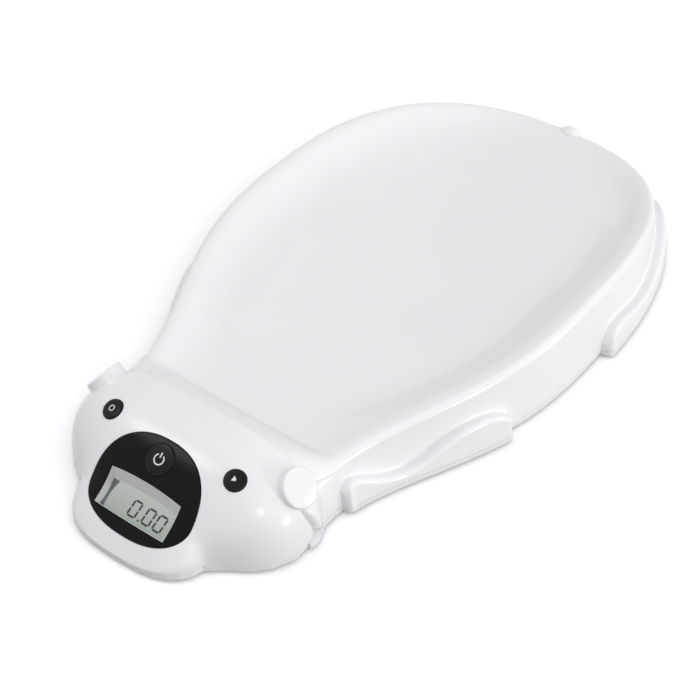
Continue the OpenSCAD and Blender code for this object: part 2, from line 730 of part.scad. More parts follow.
// Cells point to and fro, so every second one is turned
module at_cell(i) {
    turn = i % 2 == 0 ? 1 : -1;
    from_snout() translate([cell_x(i), case_s, cell_axis_z]) rotate([0, 0, turn > 0 ? 0 : 180]) children();
}
cap_len = 1.2;
cell_front = case_len / 2 - 0.6;
module battery_cells() {
    color("#3F6F96") for (i = [0 : 3]) at_cell(i)
        translate([0, cell_front, 0]) rotate([90, 0, 0]) union() {
            cylinder(d = 5.4, h = cap_len + 1);
            translate([0, 0, cap_len]) cylinder(d = cell_d, h = cell_len - cap_len);
        }
}
coil_r = 4;
COIL_TURNS = 3;
coil_wire = 0.8;
COIL_STEPS = 10;
COIL_SIDES = 6;
coil_len = case_len - cell_len - 1.4;
// A spring as one tube swept along a helix that narrows to the cell
module coil() {
    steps = COIL_TURNS * COIL_STEPS;
    points = [for (k = [0 : steps], j = [0 : COIL_SIDES - 1]) let (
        u = k / steps,
        r = coil_r * (1 - 0.35 * u) + coil_wire / 2 * cos(360 * j / COIL_SIDES),
        z = coil_wire / 2 + u * (coil_len - coil_wire) + coil_wire / 2 * sin(360 * j / COIL_SIDES),
        a = 360 * k / COIL_STEPS)
        [r * cos(a), r * sin(a), z]];
    cap = [for (j = [1 : COIL_SIDES - 2]) [0, j, j + 1]];
    polyhedron(points, concat(
        [for (k = [0 : steps - 1]) each flipped(band(k, k + 1, COIL_SIDES))],
        flipped(cap), [for (f = cap) f + steps * COIL_SIDES * [1, 1, 1]]), convexity = 4);
}
module battery_springs() {
    color("#C9CCD0") for (i = [0 : 3]) at_cell(i)
        translate([0, -case_len / 2 + 0.5, 0]) rotate([-90, 0, 0]) coil();
}
module battery_contacts() {
    plate = 10;
    color("#C9CCD0") for (i = [0 : 3], end = [-1, 1]) at_cell(i)
        translate([-plate / 2, end > 0 ? case_len / 2 - 0.5 : -case_len / 2 + 0.1, -plate / 2])
        cube([plate, 0.4, plate]);
}

// ---- Display, boards and keys ----

module lcd_frame() {
    w = window_w + 2 * lining_t;
    h = window_h + 2 * lining_t;
    gw = window_w + 2 * glass_over;
    gh = window_h + 2 * glass_over;
    color(grey) from_snout() on_panel() difference() {
        union() {
            translate([-w / 2, -h / 2, -window_d]) cube([w, h, window_d - lining_top]);
            translate([-gw / 2 - lining_t, -gh / 2 - lining_t, -board_top + 0.1])
                cube([gw + 2 * lining_t, gh + 2 * lining_t, board_top - window_d + 0.7]);
        }
        hull() {
            translate([-window_w / 2, -window_h / 2, -lining_top - 0.4]) cube([window_w, window_h, 4]);
            translate([SIGHT[0][0], SIGHT[0][1], -window_d - 1]) cube([SIGHT[1][0] - SIGHT[0][0], SIGHT[1][1] - SIGHT[0][1], 1]);
        }
        translate([-gw / 2 - gap, -gh / 2 - gap, -board_top - 1])
            cube([gw + 2 * gap, gh + 2 * gap, board_top - window_d + 1]);
    }
}
module lcd_glass() {
    gw = window_w + 2 * glass_over;
    gh = window_h + 2 * glass_over;
    color("#A9B2AA") from_snout() on_panel() {
        translate([-gw / 2, -gh / 2, -window_d - glass_t / 2]) cube([gw, gh, glass_t / 2]);
        translate([-gw / 2, -gh / 2 + 2, -window_d - glass_t]) cube([gw, gh - 2, glass_t / 2]);
    }
}
module lcd_connector() {
    gw = window_w + 2 * glass_over;
    gh = window_h + 2 * glass_over;
    strip = 1.6;
    color("#E58FA0") from_snout() on_panel()
        translate([-gw / 2 + 2, -gh / 2 + 0.1, -board_top]) cube([gw - 4, strip, connector_h + glass_t / 2 - 0.05]);
}
module main_board() {
    w = board_half;
    color("#2F6B45") from_snout() on_panel() difference() {
        translate([0, 0, -board_top - board_t]) linear_extrude(board_t)
            polygon([[-18, -board_low_v], [18, -board_low_v], [w, 2 - board_low_v / 2], [w, 10], [wing_half, 17],
                [wing_half, 27], [w, 31], [w, board_high_v], [-w, board_high_v], [-w, 31], [-wing_half, 27],
                [-wing_half, 17], [-w, 10], [-w, 2 - board_low_v / 2]]);
        for (p = concat(panel_posts_at, [[wing_x, wing_v]]), side = [-1, 1])
            translate([side * p[0], p[1], -board_top - 5]) cylinder(r = pilot_r + 0.3, h = 10, $fn = 24);
    }
}
module tact_switch() {
    translate([-switch_w / 2, -switch_w / 2, 0]) cube([switch_w, switch_w, switch_h - 0.6]);
    cylinder(d = 3.4, h = switch_h, $fn = 24);
}
module board_parts() {
    color("#1E1F22") from_snout() on_panel() {
        translate([0, key_v, -board_top]) tact_switch();
        // Controller chip and cable sockets on the back
        translate([-5, -4, -board_top - board_t - 1.6]) cube([10, 10, 1.6]);
        for (x = [-26, 16]) translate([x, 26, -board_top - board_t - 4]) cube([10, 5, 4]);
        translate([16, 2, -board_top - board_t - 6]) cylinder(d = 6.3, h = 6, $fn = 24);
    }
}
module small_screw(len) {
    translate([0, 0, -1.2]) cylinder(r = 1.9, h = 1.2, $fn = 24);
    cylinder(r = pilot_r - 0.1, h = len, $fn = 24);
}
module board_screws() {
    color("#8E9196") from_snout() on_panel()
        for (p = concat(panel_posts_at, [[wing_x, wing_v]]), side = [-1, 1])
            translate([side * p[0], p[1], -board_top - board_t]) small_screw(4.5);
}

// A key cap with a slightly domed top and the flange that keeps it in
module key_cap(d, skirt, nub) {
    r = d / 2;
    rotate_extrude() polygon([[0, -skirt - nub], [2, -skirt - nub], [2, -skirt], [r + key_flange, -skirt],
        [r + key_flange, -skirt + key_flange_t], [r, -skirt + key_flange_t], [r, 0.4],
        [r - 0.35, 0.85], [r - 1, 1.05], [r * 0.5, 1.4], [0, 1.5]]);
}
module main_key() {
    color(black) from_snout() on_main_key() key_cap(main_key_d, key_skirt, key_nub);
}
module side_key() {
    on_side_key() key_cap(side_key_d, side_skirt, 0.3);
}
module right_key() {
    color(black) from_snout() side_key();
}
module left_key() {
    color(black) from_snout() mirror([1, 0, 0]) side_key();
}
key_board_w = 14;
key_board_l = 2 * side_post_y + 6;
module key_boards() {
    color("#2F6B45") from_snout() both_sides() {
        difference() {
            on_side_key() translate([-key_board_w / 2, -key_board_l / 2, -side_board - board_t])
                cube([key_board_w, key_board_l, board_t]);
            side_posts(pilot_r + 0.3, -side_board - 5, -side_board + 5);
        }
        on_side_key() translate([0, 0, -side_board]) tact_switch();
    }
}
module key_board_screws() {
    color("#8E9196") from_snout() both_sides() for (v = [-side_post_y, side_post_y])
        on_side_key() translate([0, v, -side_board - board_t]) small_screw(4.5);
}

// ---- Speaker, cables and screws ----

module speaker() {
    color("#4A4D52") from_snout() translate([0, speaker_s, floor_top]) rotate_extrude()
        polygon([[0, 0.6], [speaker_r - 3, 0.6], [speaker_r - 2, 0], [speaker_r, 0], [speaker_r, 1.6],
            [speaker_r * 0.6, 3], [speaker_r * 0.6, speaker_h], [0, speaker_h]]);
}
cable_w = 5;
cable_t = 1.2;
cable_z = floor_top + 0.1;
cable_s = 62;
// Strip of width w along a path in the plan
module strip(path, w) {
    for (i = [0 : len(path) - 2]) let (a = path[i], b = path[i + 1], d = (b - a) / norm(b - a), n = [-d[1], d[0]] * w / 2)
        polygon([a + n - d * w / 2, b + n + d * w / 2, b - n + d * w / 2, a - n - d * w / 2]);
}
module sensor_cables() {
    lane_f = 21;
    lane_r = 44;
    rear_s = overall_len - rear_foot_tail;
    inner = holder_w / 2 + 1 + cable_w / 2;
    rise_top = on_board_z() - 5.6;
    color("#6B6E73") from_snout() both_sides() {
        translate([0, 0, cable_z]) linear_extrude(cable_t) {
            strip([[rear_foot_x - inner, rear_s], [lane_r, rear_s], [lane_r, speaker_s + 14],
                [lane_f, speaker_s - 18], [lane_f, cable_s]], cable_w);
            strip([[front_foot_x - inner, front_foot_s], [lane_f, front_foot_s]], cable_w);
        }
        translate([lane_f - cable_w / 2, cable_s - cable_t / 2, cable_z])
            cube([cable_w, cable_t, rise_top - cable_z]);
    }
}
// Height of the board's back over the plan at the cable's place
function on_board_z() = lcd_z + (cable_s - lcd_s) * tan(panel_tilt) - (board_top + board_t) / cos(panel_tilt);
module key_cables() {
    color("#6B6E73") from_snout() both_sides() hull() {
        on_panel() translate([wing_half - 4, wing_v + 6.1, -board_top - board_t]) cube([3, 0.6, board_t]);
        on_side_key() translate([3.5, -key_board_l / 2 - 0.8, -side_board - board_t]) cube([3, 0.6, board_t]);
    }
}
module case_screws() {
    color("#8E9196") from_snout() at_case_screws() {
        translate([0, 0, foot_clear + head_bore_h - screw_head_h - 0.1]) cylinder(r = screw_head_r + 0.2, h = screw_head_h);
        translate([0, 0, foot_clear + head_bore_h - 0.2]) cylinder(r = screw_r, h = boss_low + boss_bore_h - 3 - foot_clear - head_bore_h);
    }
}
module holder_screws() {
    color("#8E9196") for (i = [0 : 3], p = ear_places(i)) at_foot(i) translate([p[0], p[1], 0]) {
        translate([0, 0, ear_high + 0.05]) cylinder(r = screw_head_r, h = screw_head_h);
        translate([0, 0, foot_clear + 1.6]) cylinder(r = screw_r, h = ear_high - foot_clear - 1.5);
    }
}

top_shell();
base_shell();
display_panel();
lcd_frame();
lcd_glass();
lcd_connector();
main_board();
board_parts();
board_screws();
main_key();
left_key();
right_key();
key_boards();
key_board_screws();
speaker();
battery_door();
battery_cells();
battery_springs();
battery_contacts();
load_cell(0);  // load_cell_fl
load_cell(1);  // load_cell_fr
load_cell(2);  // load_cell_rl
load_cell(3);  // load_cell_rr
cell_holder(0);  // cell_holder_fl
cell_holder(1);  // cell_holder_fr
cell_holder(2);  // cell_holder_rl
cell_holder(3);  // cell_holder_rr
foot(0);  // foot_fl
foot(1);  // foot_fr
foot(2);  // foot_rl
foot(3);  // foot_rr
foot_pad(0);  // foot_pad_fl
foot_pad(1);  // foot_pad_fr
foot_pad(2);  // foot_pad_rl
foot_pad(3);  // foot_pad_rr
holder_screws();
case_screws();
sensor_cables();
key_cables();
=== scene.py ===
"""Digital baby weighing scale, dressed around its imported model.

Shapes are worked out in millimetres, with x across the scale, s the distance
from the snout along it and z up, and written into meshes in metres.
"""
import math

import bmesh
import bpy
import numpy as np
from mathutils import Matrix, Vector


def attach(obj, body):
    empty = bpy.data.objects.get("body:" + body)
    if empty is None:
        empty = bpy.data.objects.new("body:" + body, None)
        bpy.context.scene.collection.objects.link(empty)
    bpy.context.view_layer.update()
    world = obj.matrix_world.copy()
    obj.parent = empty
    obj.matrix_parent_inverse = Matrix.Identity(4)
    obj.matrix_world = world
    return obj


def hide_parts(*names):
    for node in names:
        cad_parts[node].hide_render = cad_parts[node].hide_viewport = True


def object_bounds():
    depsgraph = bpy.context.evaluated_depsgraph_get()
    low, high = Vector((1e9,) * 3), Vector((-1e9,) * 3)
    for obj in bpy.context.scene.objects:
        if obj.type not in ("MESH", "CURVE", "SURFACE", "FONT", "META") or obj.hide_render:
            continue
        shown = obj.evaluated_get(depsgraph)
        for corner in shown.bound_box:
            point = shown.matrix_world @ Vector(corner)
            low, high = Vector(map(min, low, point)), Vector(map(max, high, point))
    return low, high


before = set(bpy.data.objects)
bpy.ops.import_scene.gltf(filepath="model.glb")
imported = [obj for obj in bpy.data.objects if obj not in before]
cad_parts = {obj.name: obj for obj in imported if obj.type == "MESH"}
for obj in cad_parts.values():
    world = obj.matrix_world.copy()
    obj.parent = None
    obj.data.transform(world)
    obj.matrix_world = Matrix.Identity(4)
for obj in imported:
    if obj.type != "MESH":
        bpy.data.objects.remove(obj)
cad_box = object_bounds()

# ---- Camera ----
# A long lens that looks down on the scale from beyond its head, a little to
# its right, as a table-top product shot is taken.
MM = 0.001
OVERALL_LEN = round((cad_box[1][1] - cad_box[0][1]) / MM)
VIEW_TURN = math.radians(37.8)
VIEW_DROP = math.radians(42.28)
VIEW_FAR = 1380
VIEW_AIM = Vector((0, 0, 29))
VIEW_SLIDE = (-15.64, -31.78)
LENS = 92.54

view_back = Vector((
    math.sin(VIEW_TURN) * math.cos(VIEW_DROP),
    -math.cos(VIEW_TURN) * math.cos(VIEW_DROP),
    math.sin(VIEW_DROP),
))
view_right = Vector((math.cos(VIEW_TURN), math.sin(VIEW_TURN), 0))
view_up = view_back.cross(view_right)
camera_data = bpy.data.cameras.new("camera")
camera_data.lens = LENS
camera_data.sensor_width = 36
camera_data.clip_end = 20
camera = bpy.data.objects.new("camera", camera_data)
bpy.context.scene.collection.objects.link(camera)
camera.matrix_world = Matrix((
    (view_right.x, view_up.x, view_back.x, 0),
    (view_right.y, view_up.y, view_back.y, 0),
    (view_right.z, view_up.z, view_back.z, 0),
    (0, 0, 0, 1),
))
camera.location = MM * (
    VIEW_AIM + VIEW_FAR * view_back + VIEW_SLIDE[0] * view_right + VIEW_SLIDE[1] * view_up
)
bpy.context.scene.camera = camera
bpy.context.scene.view_settings.view_transform = "Standard"

# ---- Floor and light ----
# White paper sweep under a soft studio sky, brightest overhead and on the
# right. Low lights on the right lift the side walls, one beside the camera
# throws the shadow, and one on the left puts a sheen on snout and panel.
def linear(hex_colour):
    """sRGB hex to a linear colour with alpha."""
    channels = [int(hex_colour[i:i + 2], 16) / 255 for i in (1, 3, 5)]
    return [c / 12.92 if c <= 0.04045 else ((c + 0.055) / 1.055) ** 2.4 for c in channels] + [1]


def node(tree, kind, links=(), **settings):
    """Adds a shader node. Settings fill its properties or sockets, and links
    join other nodes' outputs to its sockets."""
    made = tree.nodes.new(kind)
    for key, value in settings.items():
        if hasattr(made, key):
            setattr(made, key, value)
        else:
            made.inputs[key.replace("_", " ")].default_value = value
    for socket, source in dict(links).items():
        tree.links.new(source, made.inputs[socket])
    return made


def new_material(name):
    """A material with an empty node tree and its output node."""
    material = bpy.data.materials.new(name)
    material.use_nodes = True
    material.node_tree.nodes.clear()
    return material, material.node_tree, material.node_tree.nodes.new("ShaderNodeOutputMaterial")


FLOOR_SIZE = 8
# The paper as the camera sees it, lifted so that it reads as plain white
# around the scale and still holds the shadow
FLOOR_GAIN = 1.14


def seen_ray(tree):
    """1 for the rays that show the surroundings: from the camera, off gloss and
    through glass."""
    ray = node(tree, "ShaderNodeLightPath").outputs
    either = node(tree, "ShaderNodeMath", operation="MAXIMUM",
                  links={0: ray["Is Camera Ray"], 1: ray["Is Glossy Ray"]})
    return node(tree, "ShaderNodeMath", operation="MAXIMUM",
                links={0: either.outputs[0], 1: ray["Is Transmission Ray"]}).outputs[0]


# Matt white paper: no grain and no gloss, so only the soft shadow shows on
# it. The light that it throws up at the scale is kept greyer.
floor_material, tree, out = new_material("matt_white_paper")
thrown = node(tree, "ShaderNodeBsdfDiffuse", Color=linear("#A2A2A3"), Roughness=1.0)
shown = node(tree, "ShaderNodeBsdfDiffuse", Color=[FLOOR_GAIN] * 3 + [1], Roughness=1.0)
paper = node(tree, "ShaderNodeMixShader",
             links={0: seen_ray(tree), 1: thrown.outputs[0], 2: shown.outputs[0]})
tree.links.new(paper.outputs[0], out.inputs[0])

bpy.ops.mesh.primitive_plane_add(size=FLOOR_SIZE)
floor = bpy.context.object
floor.name = "floor"
floor.data.materials.append(floor_material)

# Strength of the sky towards the right, the front and overhead
SKY = (0.46, 0.04, 1.0)
world = bpy.data.worlds.new("studio")
bpy.context.scene.world = world
world.use_nodes = True
tree = world.node_tree
tree.nodes.clear()
towards = node(tree, "ShaderNodeTexCoord")
to_front = node(tree, "ShaderNodeVectorMath", operation="MULTIPLY",
                links={0: towards.outputs["Generated"]})
to_front.inputs[1].default_value = (1, -1, 1)
lit_side = node(tree, "ShaderNodeVectorMath", operation="MAXIMUM", links={0: to_front.outputs[0]})
strength = node(tree, "ShaderNodeVectorMath", operation="DOT_PRODUCT",
                links={0: lit_side.outputs[0]})
strength.inputs[1].default_value = SKY
sky = node(tree, "ShaderNodeBackground", Color=linear("#FCFDFF"),
           links={"Strength": strength.outputs["Value"]})
white_sky = node(tree, "ShaderNodeBackground", Color=(1, 1, 1, 1), Strength=1.0)
sky_mix = node(tree, "ShaderNodeMixShader",
               links={0: seen_ray(tree), 1: sky.outputs[0], 2: white_sky.outputs[0]})
node(tree, "ShaderNodeOutputWorld", links={0: sky_mix.outputs[0]})

for name, place, size, watts in (
    ("rear_wall_light", (1.6, 0.9, 0.14), 0.25, 5.4),
    ("front_wall_light", (1.9, 0.0, 0.14), 0.25, 7.6),
    ("camera_side_light", (1.17, -1.21, 1.41), 0.3, 3),
    ("left_softbox", (-0.94, -0.7, 1.62), 0.6, 4.5),
):
    lamp_data = bpy.data.lights.new(name, "AREA")
    lamp_data.energy = watts
    lamp_data.size = size
    lamp = bpy.data.objects.new(name, lamp_data)
    bpy.context.scene.collection.objects.link(lamp)
    lamp.location = place
    lamp.rotation_euler = (-Vector(place)).to_track_quat("-Z", "Y").to_euler()

# ---- Top shell ----
# One glossy white ABS moulding: tray, rolled rim, head, shoulders, arms and
# legs. It is drawn as rows up the wall and over the rim, with each limb's
# ledge and rounded ends worked into the rows, then cut for panel and keys.
# Plan: widths and places of snout, cheeks, neck and body
NECK_W, NECK_S = 186, 110
BODY_W, TAIL_LEN = 308, 226
CHEEK_W, CHEEK_S, CHEEK_REACH = 200, 83, 55
SNOUT_W, SNOUT_LEN = 116, 44
WIDE_S = OVERALL_LEN - TAIL_LEN
SNOUT_P, CHEEK_P, TAIL_P, BODY_SKEW, BLEND_P = 2.9, 2.2, 2.4, 1.3, 6
NECK_BLEND = (CHEEK_S + 8, NECK_S + 8)
# Heights: rim with its peak and the way down to both ends, seam, head, brow
RIM_H, RIM_NECK_H, RIM_TAIL_H, RIM_PEAK = 62, 38, 36, 190
RIM_S = OVERALL_LEN - RIM_PEAK
SEAM_H = 7.5
HEAD_H, HEAD_S, BROW, BROW_S = 68, 104, 5, 25
DOME_P, HEAD_P = 3.1, 1.75
# Tray: rolled rim, floor that rises to the neck, and the drop between them,
# a flat facet with a soft lip and toe that fades into a bowl at both ends
RIM_R, DRAFT, FLOOR_H = 6, 4, 29
RIDGE_IN = DRAFT + RIM_R
NECK_RISE, NECK_RISE_LEN = 12, 110
SLOPE_W, SLOPE_P = 17, 2.5
FACET_TOP, FACET_FOOT, FACET_END = 11, 40, 64
FACET_LIP, FACET_TOE = 0.75, 0.7
FACET_IN, FACET_OUT = (NECK_S + 30, NECK_S + 90), (OVERALL_LEN - 130, OVERALL_LEN - 60)
# Slope behind the head: where it starts and ends, and how soft its edges are
BACK_TOP, BACK_FOOT, BACK_SOFT = 104, 138, 3


def mix(a, b, u):
    return a + (b - a) * u


def ease(a, b, v):
    """0 below a and 1 above b, with a smooth rise between them."""
    u = np.clip((v - a) / (b - a), 0, 1)
    return u * u * (3 - 2 * u)


def oval(u, p):
    """Height of a unit super-ellipse with exponent p over u."""
    return np.maximum(0, 1 - np.minimum(1, np.abs(u)) ** p) ** (1 / p)


def body_x(s):
    """Half width of the neck and body."""
    u = np.clip((WIDE_S - s) / (WIDE_S - NECK_S), 0, 1) ** BODY_SKEW
    front = (BODY_W + NECK_W) / 4 + (BODY_W - NECK_W) / 4 * np.cos(np.pi * u)
    return np.where(s > WIDE_S, BODY_W / 2 * oval((s - WIDE_S) / TAIL_LEN, TAIL_P), front)


def half_w(s):
    """Half width of the plan at distance s from the snout."""
    snout = SNOUT_W / 2 * oval((SNOUT_LEN - np.minimum(s, SNOUT_LEN)) / SNOUT_LEN, SNOUT_P)
    cheek = CHEEK_W / 2 * oval((s - CHEEK_S) / CHEEK_REACH, CHEEK_P)
    head = (snout ** BLEND_P + cheek ** BLEND_P) ** (1 / BLEND_P)
    return mix(head, body_x(s), ease(*NECK_BLEND, s))


def crown(s):
    """Head height along the middle line."""
    u = np.clip((s - BROW_S) / (HEAD_S - BROW_S), 0, 1)
    return (SEAM_H + (HEAD_H - SEAM_H) * (1 - np.maximum(0, (HEAD_S - s) / HEAD_S) ** HEAD_P)
            + BROW * np.sin(np.pi * u) ** 2)


def rim_at(s):
    """Height of the rim."""
    front = RIM_H - (RIM_H - RIM_NECK_H) * ((RIM_S - s) / (RIM_S - NECK_S)) ** 2
    rear = RIM_H - (RIM_H - RIM_TAIL_H) * ((s - RIM_S) / (OVERALL_LEN - RIM_S)) ** 2
    return np.where(s < RIM_S, front, rear)


def floor_at(s):
    """Height of the tray's floor along the middle line."""
    return FLOOR_H + NECK_RISE * np.maximum(0, (NECK_S + NECK_RISE_LEN - s) / NECK_RISE_LEN) ** 2


def soft_ramp(u, soft):
    """0 below zero and u above it, with the corner rounded over soft on both sides."""
    return np.where(u < -soft, 0, np.where(u > soft, u, (u + soft) ** 2 / (4 * soft)))


def head_share(s):
    """1 on the head and 0 in the tray, with a flat slope between that has soft edges."""
    s = np.asarray(s, float)
    fall = soft_ramp(s - BACK_TOP, BACK_SOFT) - soft_ramp(s - BACK_FOOT, BACK_SOFT)
    return 1 - fall / (BACK_FOOT - BACK_TOP)


def facet(q):
    """Share of the drop at q inward from the rim's top: rounded lip, flat facet
    and rounded toe, with a faint crease between them."""
    lip = np.clip(q, 0, FACET_TOP)
    flat = np.clip(q, FACET_TOP, FACET_FOOT) - FACET_TOP
    toe = np.clip(q, FACET_FOOT, FACET_END) - FACET_FOOT
    toe_len = FACET_END - FACET_FOOT
    drop = (FACET_LIP * lip ** 2 / (2 * FACET_TOP) + flat
            + FACET_TOE * (toe - toe ** 2 / (2 * toe_len)))
    full = FACET_LIP * FACET_TOP / 2 + FACET_FOOT - FACET_TOP + FACET_TOE * toe_len / 2
    return drop / full


def sink(q, s):
    """Share of the drop at q inward from the rim's top: faceted along the sides
    and a smooth bowl at both ends."""
    bowl = 1 - 1 / (1 + (np.maximum(0, q) / SLOPE_W) ** SLOPE_P)
    faceted = ease(*FACET_IN, s) * (1 - ease(*FACET_OUT, s))
    return mix(facet(q), bowl, 1 - faceted)


def head_z(x, s):
    """Height of the head's dome."""
    return SEAM_H + (crown(s) - SEAM_H) * oval(x / np.maximum(1, half_w(s)), DOME_P)


def tray_z(d, s, rim):
    """Height of the tray at distance d inward from the outline."""
    wall = mix(SEAM_H, rim - RIM_R, d / DRAFT)
    roll = rim - RIM_R + np.sqrt(np.maximum(0, RIM_R ** 2 - (RIDGE_IN - d) ** 2))
    slope = mix(rim, floor_at(s), sink(d - RIDGE_IN, s))
    return np.where(d < DRAFT, wall, np.where(d < RIDGE_IN, roll, slope))


def skin_z(x, s):
    """Height of the outside of the shell over the plan."""
    x, s = np.asarray(x, float), np.asarray(s, float)
    behind = s > WIDE_S
    k = np.maximum(0.01, ((np.abs(x) / (BODY_W / 2)) ** TAIL_P
                          + (np.maximum(0, s - WIDE_S) / TAIL_LEN) ** TAIL_P) ** (1 / TAIL_P))
    r = np.where(behind, np.hypot(x, s - WIDE_S), np.abs(x))
    reach = np.where(behind, r / k, half_w(s))
    rim = rim_at(np.where(behind, WIDE_S + (s - WIDE_S) / k, s))
    return mix(tray_z(reach - r, s, rim), head_z(x, s), head_share(s))


# Thickness of the moulding's wall
WALL = 2.5
# Limbs: how far they stand out, the rounding of ends, ledge and crease, where
# arm and leg start and end, and their tops and the shoulder's front as tables
LIMB_T = 9
END_R = 5
LEDGE_R, CREASE_R = 3, 1.4
ARM, LEG = (131, 267), (OVERALL_LEN - 200, OVERALL_LEN - 26)
SHOULDER_S = 84
ARM_TOP = [[0, 21], [0.04, 26], [0.12, 25], [0.24, 17], [0.38, 14], [0.5, 18],
           [0.62, 26], [0.74, 31], [0.86, 31], [0.94, 27], [1, 19]]
LEG_TOP = [[0, 14], [0.04, 23], [0.12, 26], [0.24, 22], [0.4, 19], [0.6, 22],
           [0.78, 27], [0.92, 26], [1, 16]]
SHOULDER_FRONT = [[SEAM_H, 101], [13, 97], [22, 93.5], [33, 89], [43, 86]]
SHOULDER_OUT = [[84, 5], [99, 5.5], [117, 3.5], [131, 2.5]]
SHOULDER_ROUND, SHOULDER_FADE = 4, (34, 50)


def smooth_table(table, u):
    """Cubic curve through the points of a table."""
    knots = np.array(table, float)
    tangent = np.gradient(knots[:, 1], knots[:, 0])
    u = np.clip(u, knots[0, 0], knots[-1, 0])
    i = np.clip(np.searchsorted(knots[:, 0], u) - 1, 0, len(knots) - 2)
    width = knots[i + 1, 0] - knots[i, 0]
    t = (u - knots[i, 0]) / width
    return ((2 * t ** 3 - 3 * t ** 2 + 1) * knots[i, 1]
            + (t ** 3 - 2 * t ** 2 + t) * width * tangent[i]
            + (3 * t ** 2 - 2 * t ** 3) * knots[i + 1, 1]
            + (t ** 3 - t ** 2) * width * tangent[i + 1])


def rounded_ends(s, ends):
    """1 along a limb, falling to 0 at its ends as a quarter circle does."""
    u = np.clip(np.minimum(s - ends[0], ends[1] - s) / END_R, 0, 1)
    return np.sqrt(np.maximum(0, 1 - (1 - u) ** 2))


def limb_out(s):
    """How far arm or leg stands out."""
    return LIMB_T * np.maximum(rounded_ends(s, ARM), rounded_ends(s, LEG))


def limb_top(s):
    """Height of the ledge on top of arm or leg."""
    arm = smooth_table(ARM_TOP, (s - ARM[0]) / (ARM[1] - ARM[0]))
    leg = smooth_table(LEG_TOP, (s - LEG[0]) / (LEG[1] - LEG[0]))
    return np.where(s < (ARM[1] + LEG[0]) / 2, arm, leg)


def shoulder_out(s, z):
    """How far the shoulder stands out at height z."""
    u = np.clip((s - smooth_table(SHOULDER_FRONT, z)) / SHOULDER_ROUND, 0, 1)
    front = np.sqrt(np.maximum(0, 1 - (1 - u) ** 2))
    fade = (1 - ease(*SHOULDER_FADE, z)) * (1 - ease(ARM[0] - 1, ARM[0] + 9, s))
    return np.interp(s, *np.array(SHOULDER_OUT).T) * front * fade * (s > SHOULDER_S - 2)


# Columns of points round half the plan: fanned about a point of the spine in
# the snout, straight across the sides, and fanned again round the tail, with
# close ones where a limb, the shoulder or the slope behind the head begins
FAN_S = 58
FAN_N, MID_N, TAIL_N = 36, 150, 70
END_STEP, END_CLEAR = 0.2, 0.6
SHOULDER_COLUMNS = (SHOULDER_S, 106, 0.8)
end_steps = END_R * (1 - np.cos(np.linspace(0, math.pi / 2, 9))) - END_STEP


def half_outline():
    """Half width, place and place of the spine point, from snout to tail."""
    front = FAN_S * (1 - np.cos(np.linspace(0, math.pi / 2, FAN_N + 1)))
    extra = np.concatenate([
        ARM[0] + end_steps, ARM[1] - end_steps, LEG[0] + end_steps,
        [ARM[0] - END_CLEAR, ARM[1] + END_CLEAR, LEG[0] - END_CLEAR],
        np.arange(*SHOULDER_COLUMNS),
        np.arange(BACK_TOP - 4, BACK_TOP + 5), np.arange(BACK_FOOT - 4, BACK_FOOT + 5),
    ])
    middle = np.concatenate([np.linspace(FAN_S, WIDE_S, MID_N), extra[extra < WIDE_S]])
    middle = np.unique(np.round(middle, 3))[1:]
    angle = np.linspace(0, math.pi / 2, TAIL_N)[1:]
    tail = WIDE_S + TAIL_LEN * np.sin(angle) ** (2 / TAIL_P)
    tail = np.concatenate([tail, extra[extra > WIDE_S], LEG[1] - end_steps, [LEG[1] + END_CLEAR]])
    tail = np.unique(np.round(tail, 3))
    s0 = np.concatenate([front, middle, tail])
    spine = np.concatenate([np.full(len(front), FAN_S), middle, np.full(len(tail), WIDE_S)])
    x0 = np.where(s0 > WIDE_S, body_x(s0), half_w(s0))
    x0[0] = x0[-1] = 0
    return x0, s0, spine


# Rows of the wall: below the ledge, round its edge, across it, in the crease
# above it, and on up to where the rim starts. Where no limb stands out, the
# ledge's rows spread out over the wall. On the head they end at HEAD_WALL.
BELOW_N, EDGE_N, LEDGE_N, CREASE_N, ABOVE_N = 9, 7, 3, 6, 9
SPREAD = 5
HEAD_WALL = 44
# Rows over the rim, down the facet with close ones at its creases, and over
# the floor to the middle
ROLL_N, REST_N = 10, 22
CREASE_STEP = 0.5
SLOPE_ROWS = np.concatenate([
    np.linspace(0, FACET_TOP - CREASE_STEP, 8)[1:], [FACET_TOP, FACET_TOP + CREASE_STEP],
    np.linspace(FACET_TOP + CREASE_STEP, FACET_FOOT - CREASE_STEP, 12)[1:],
    [FACET_FOOT, FACET_FOOT + CREASE_STEP],
    np.linspace(FACET_FOOT + CREASE_STEP, FACET_END, 9)[1:],
])


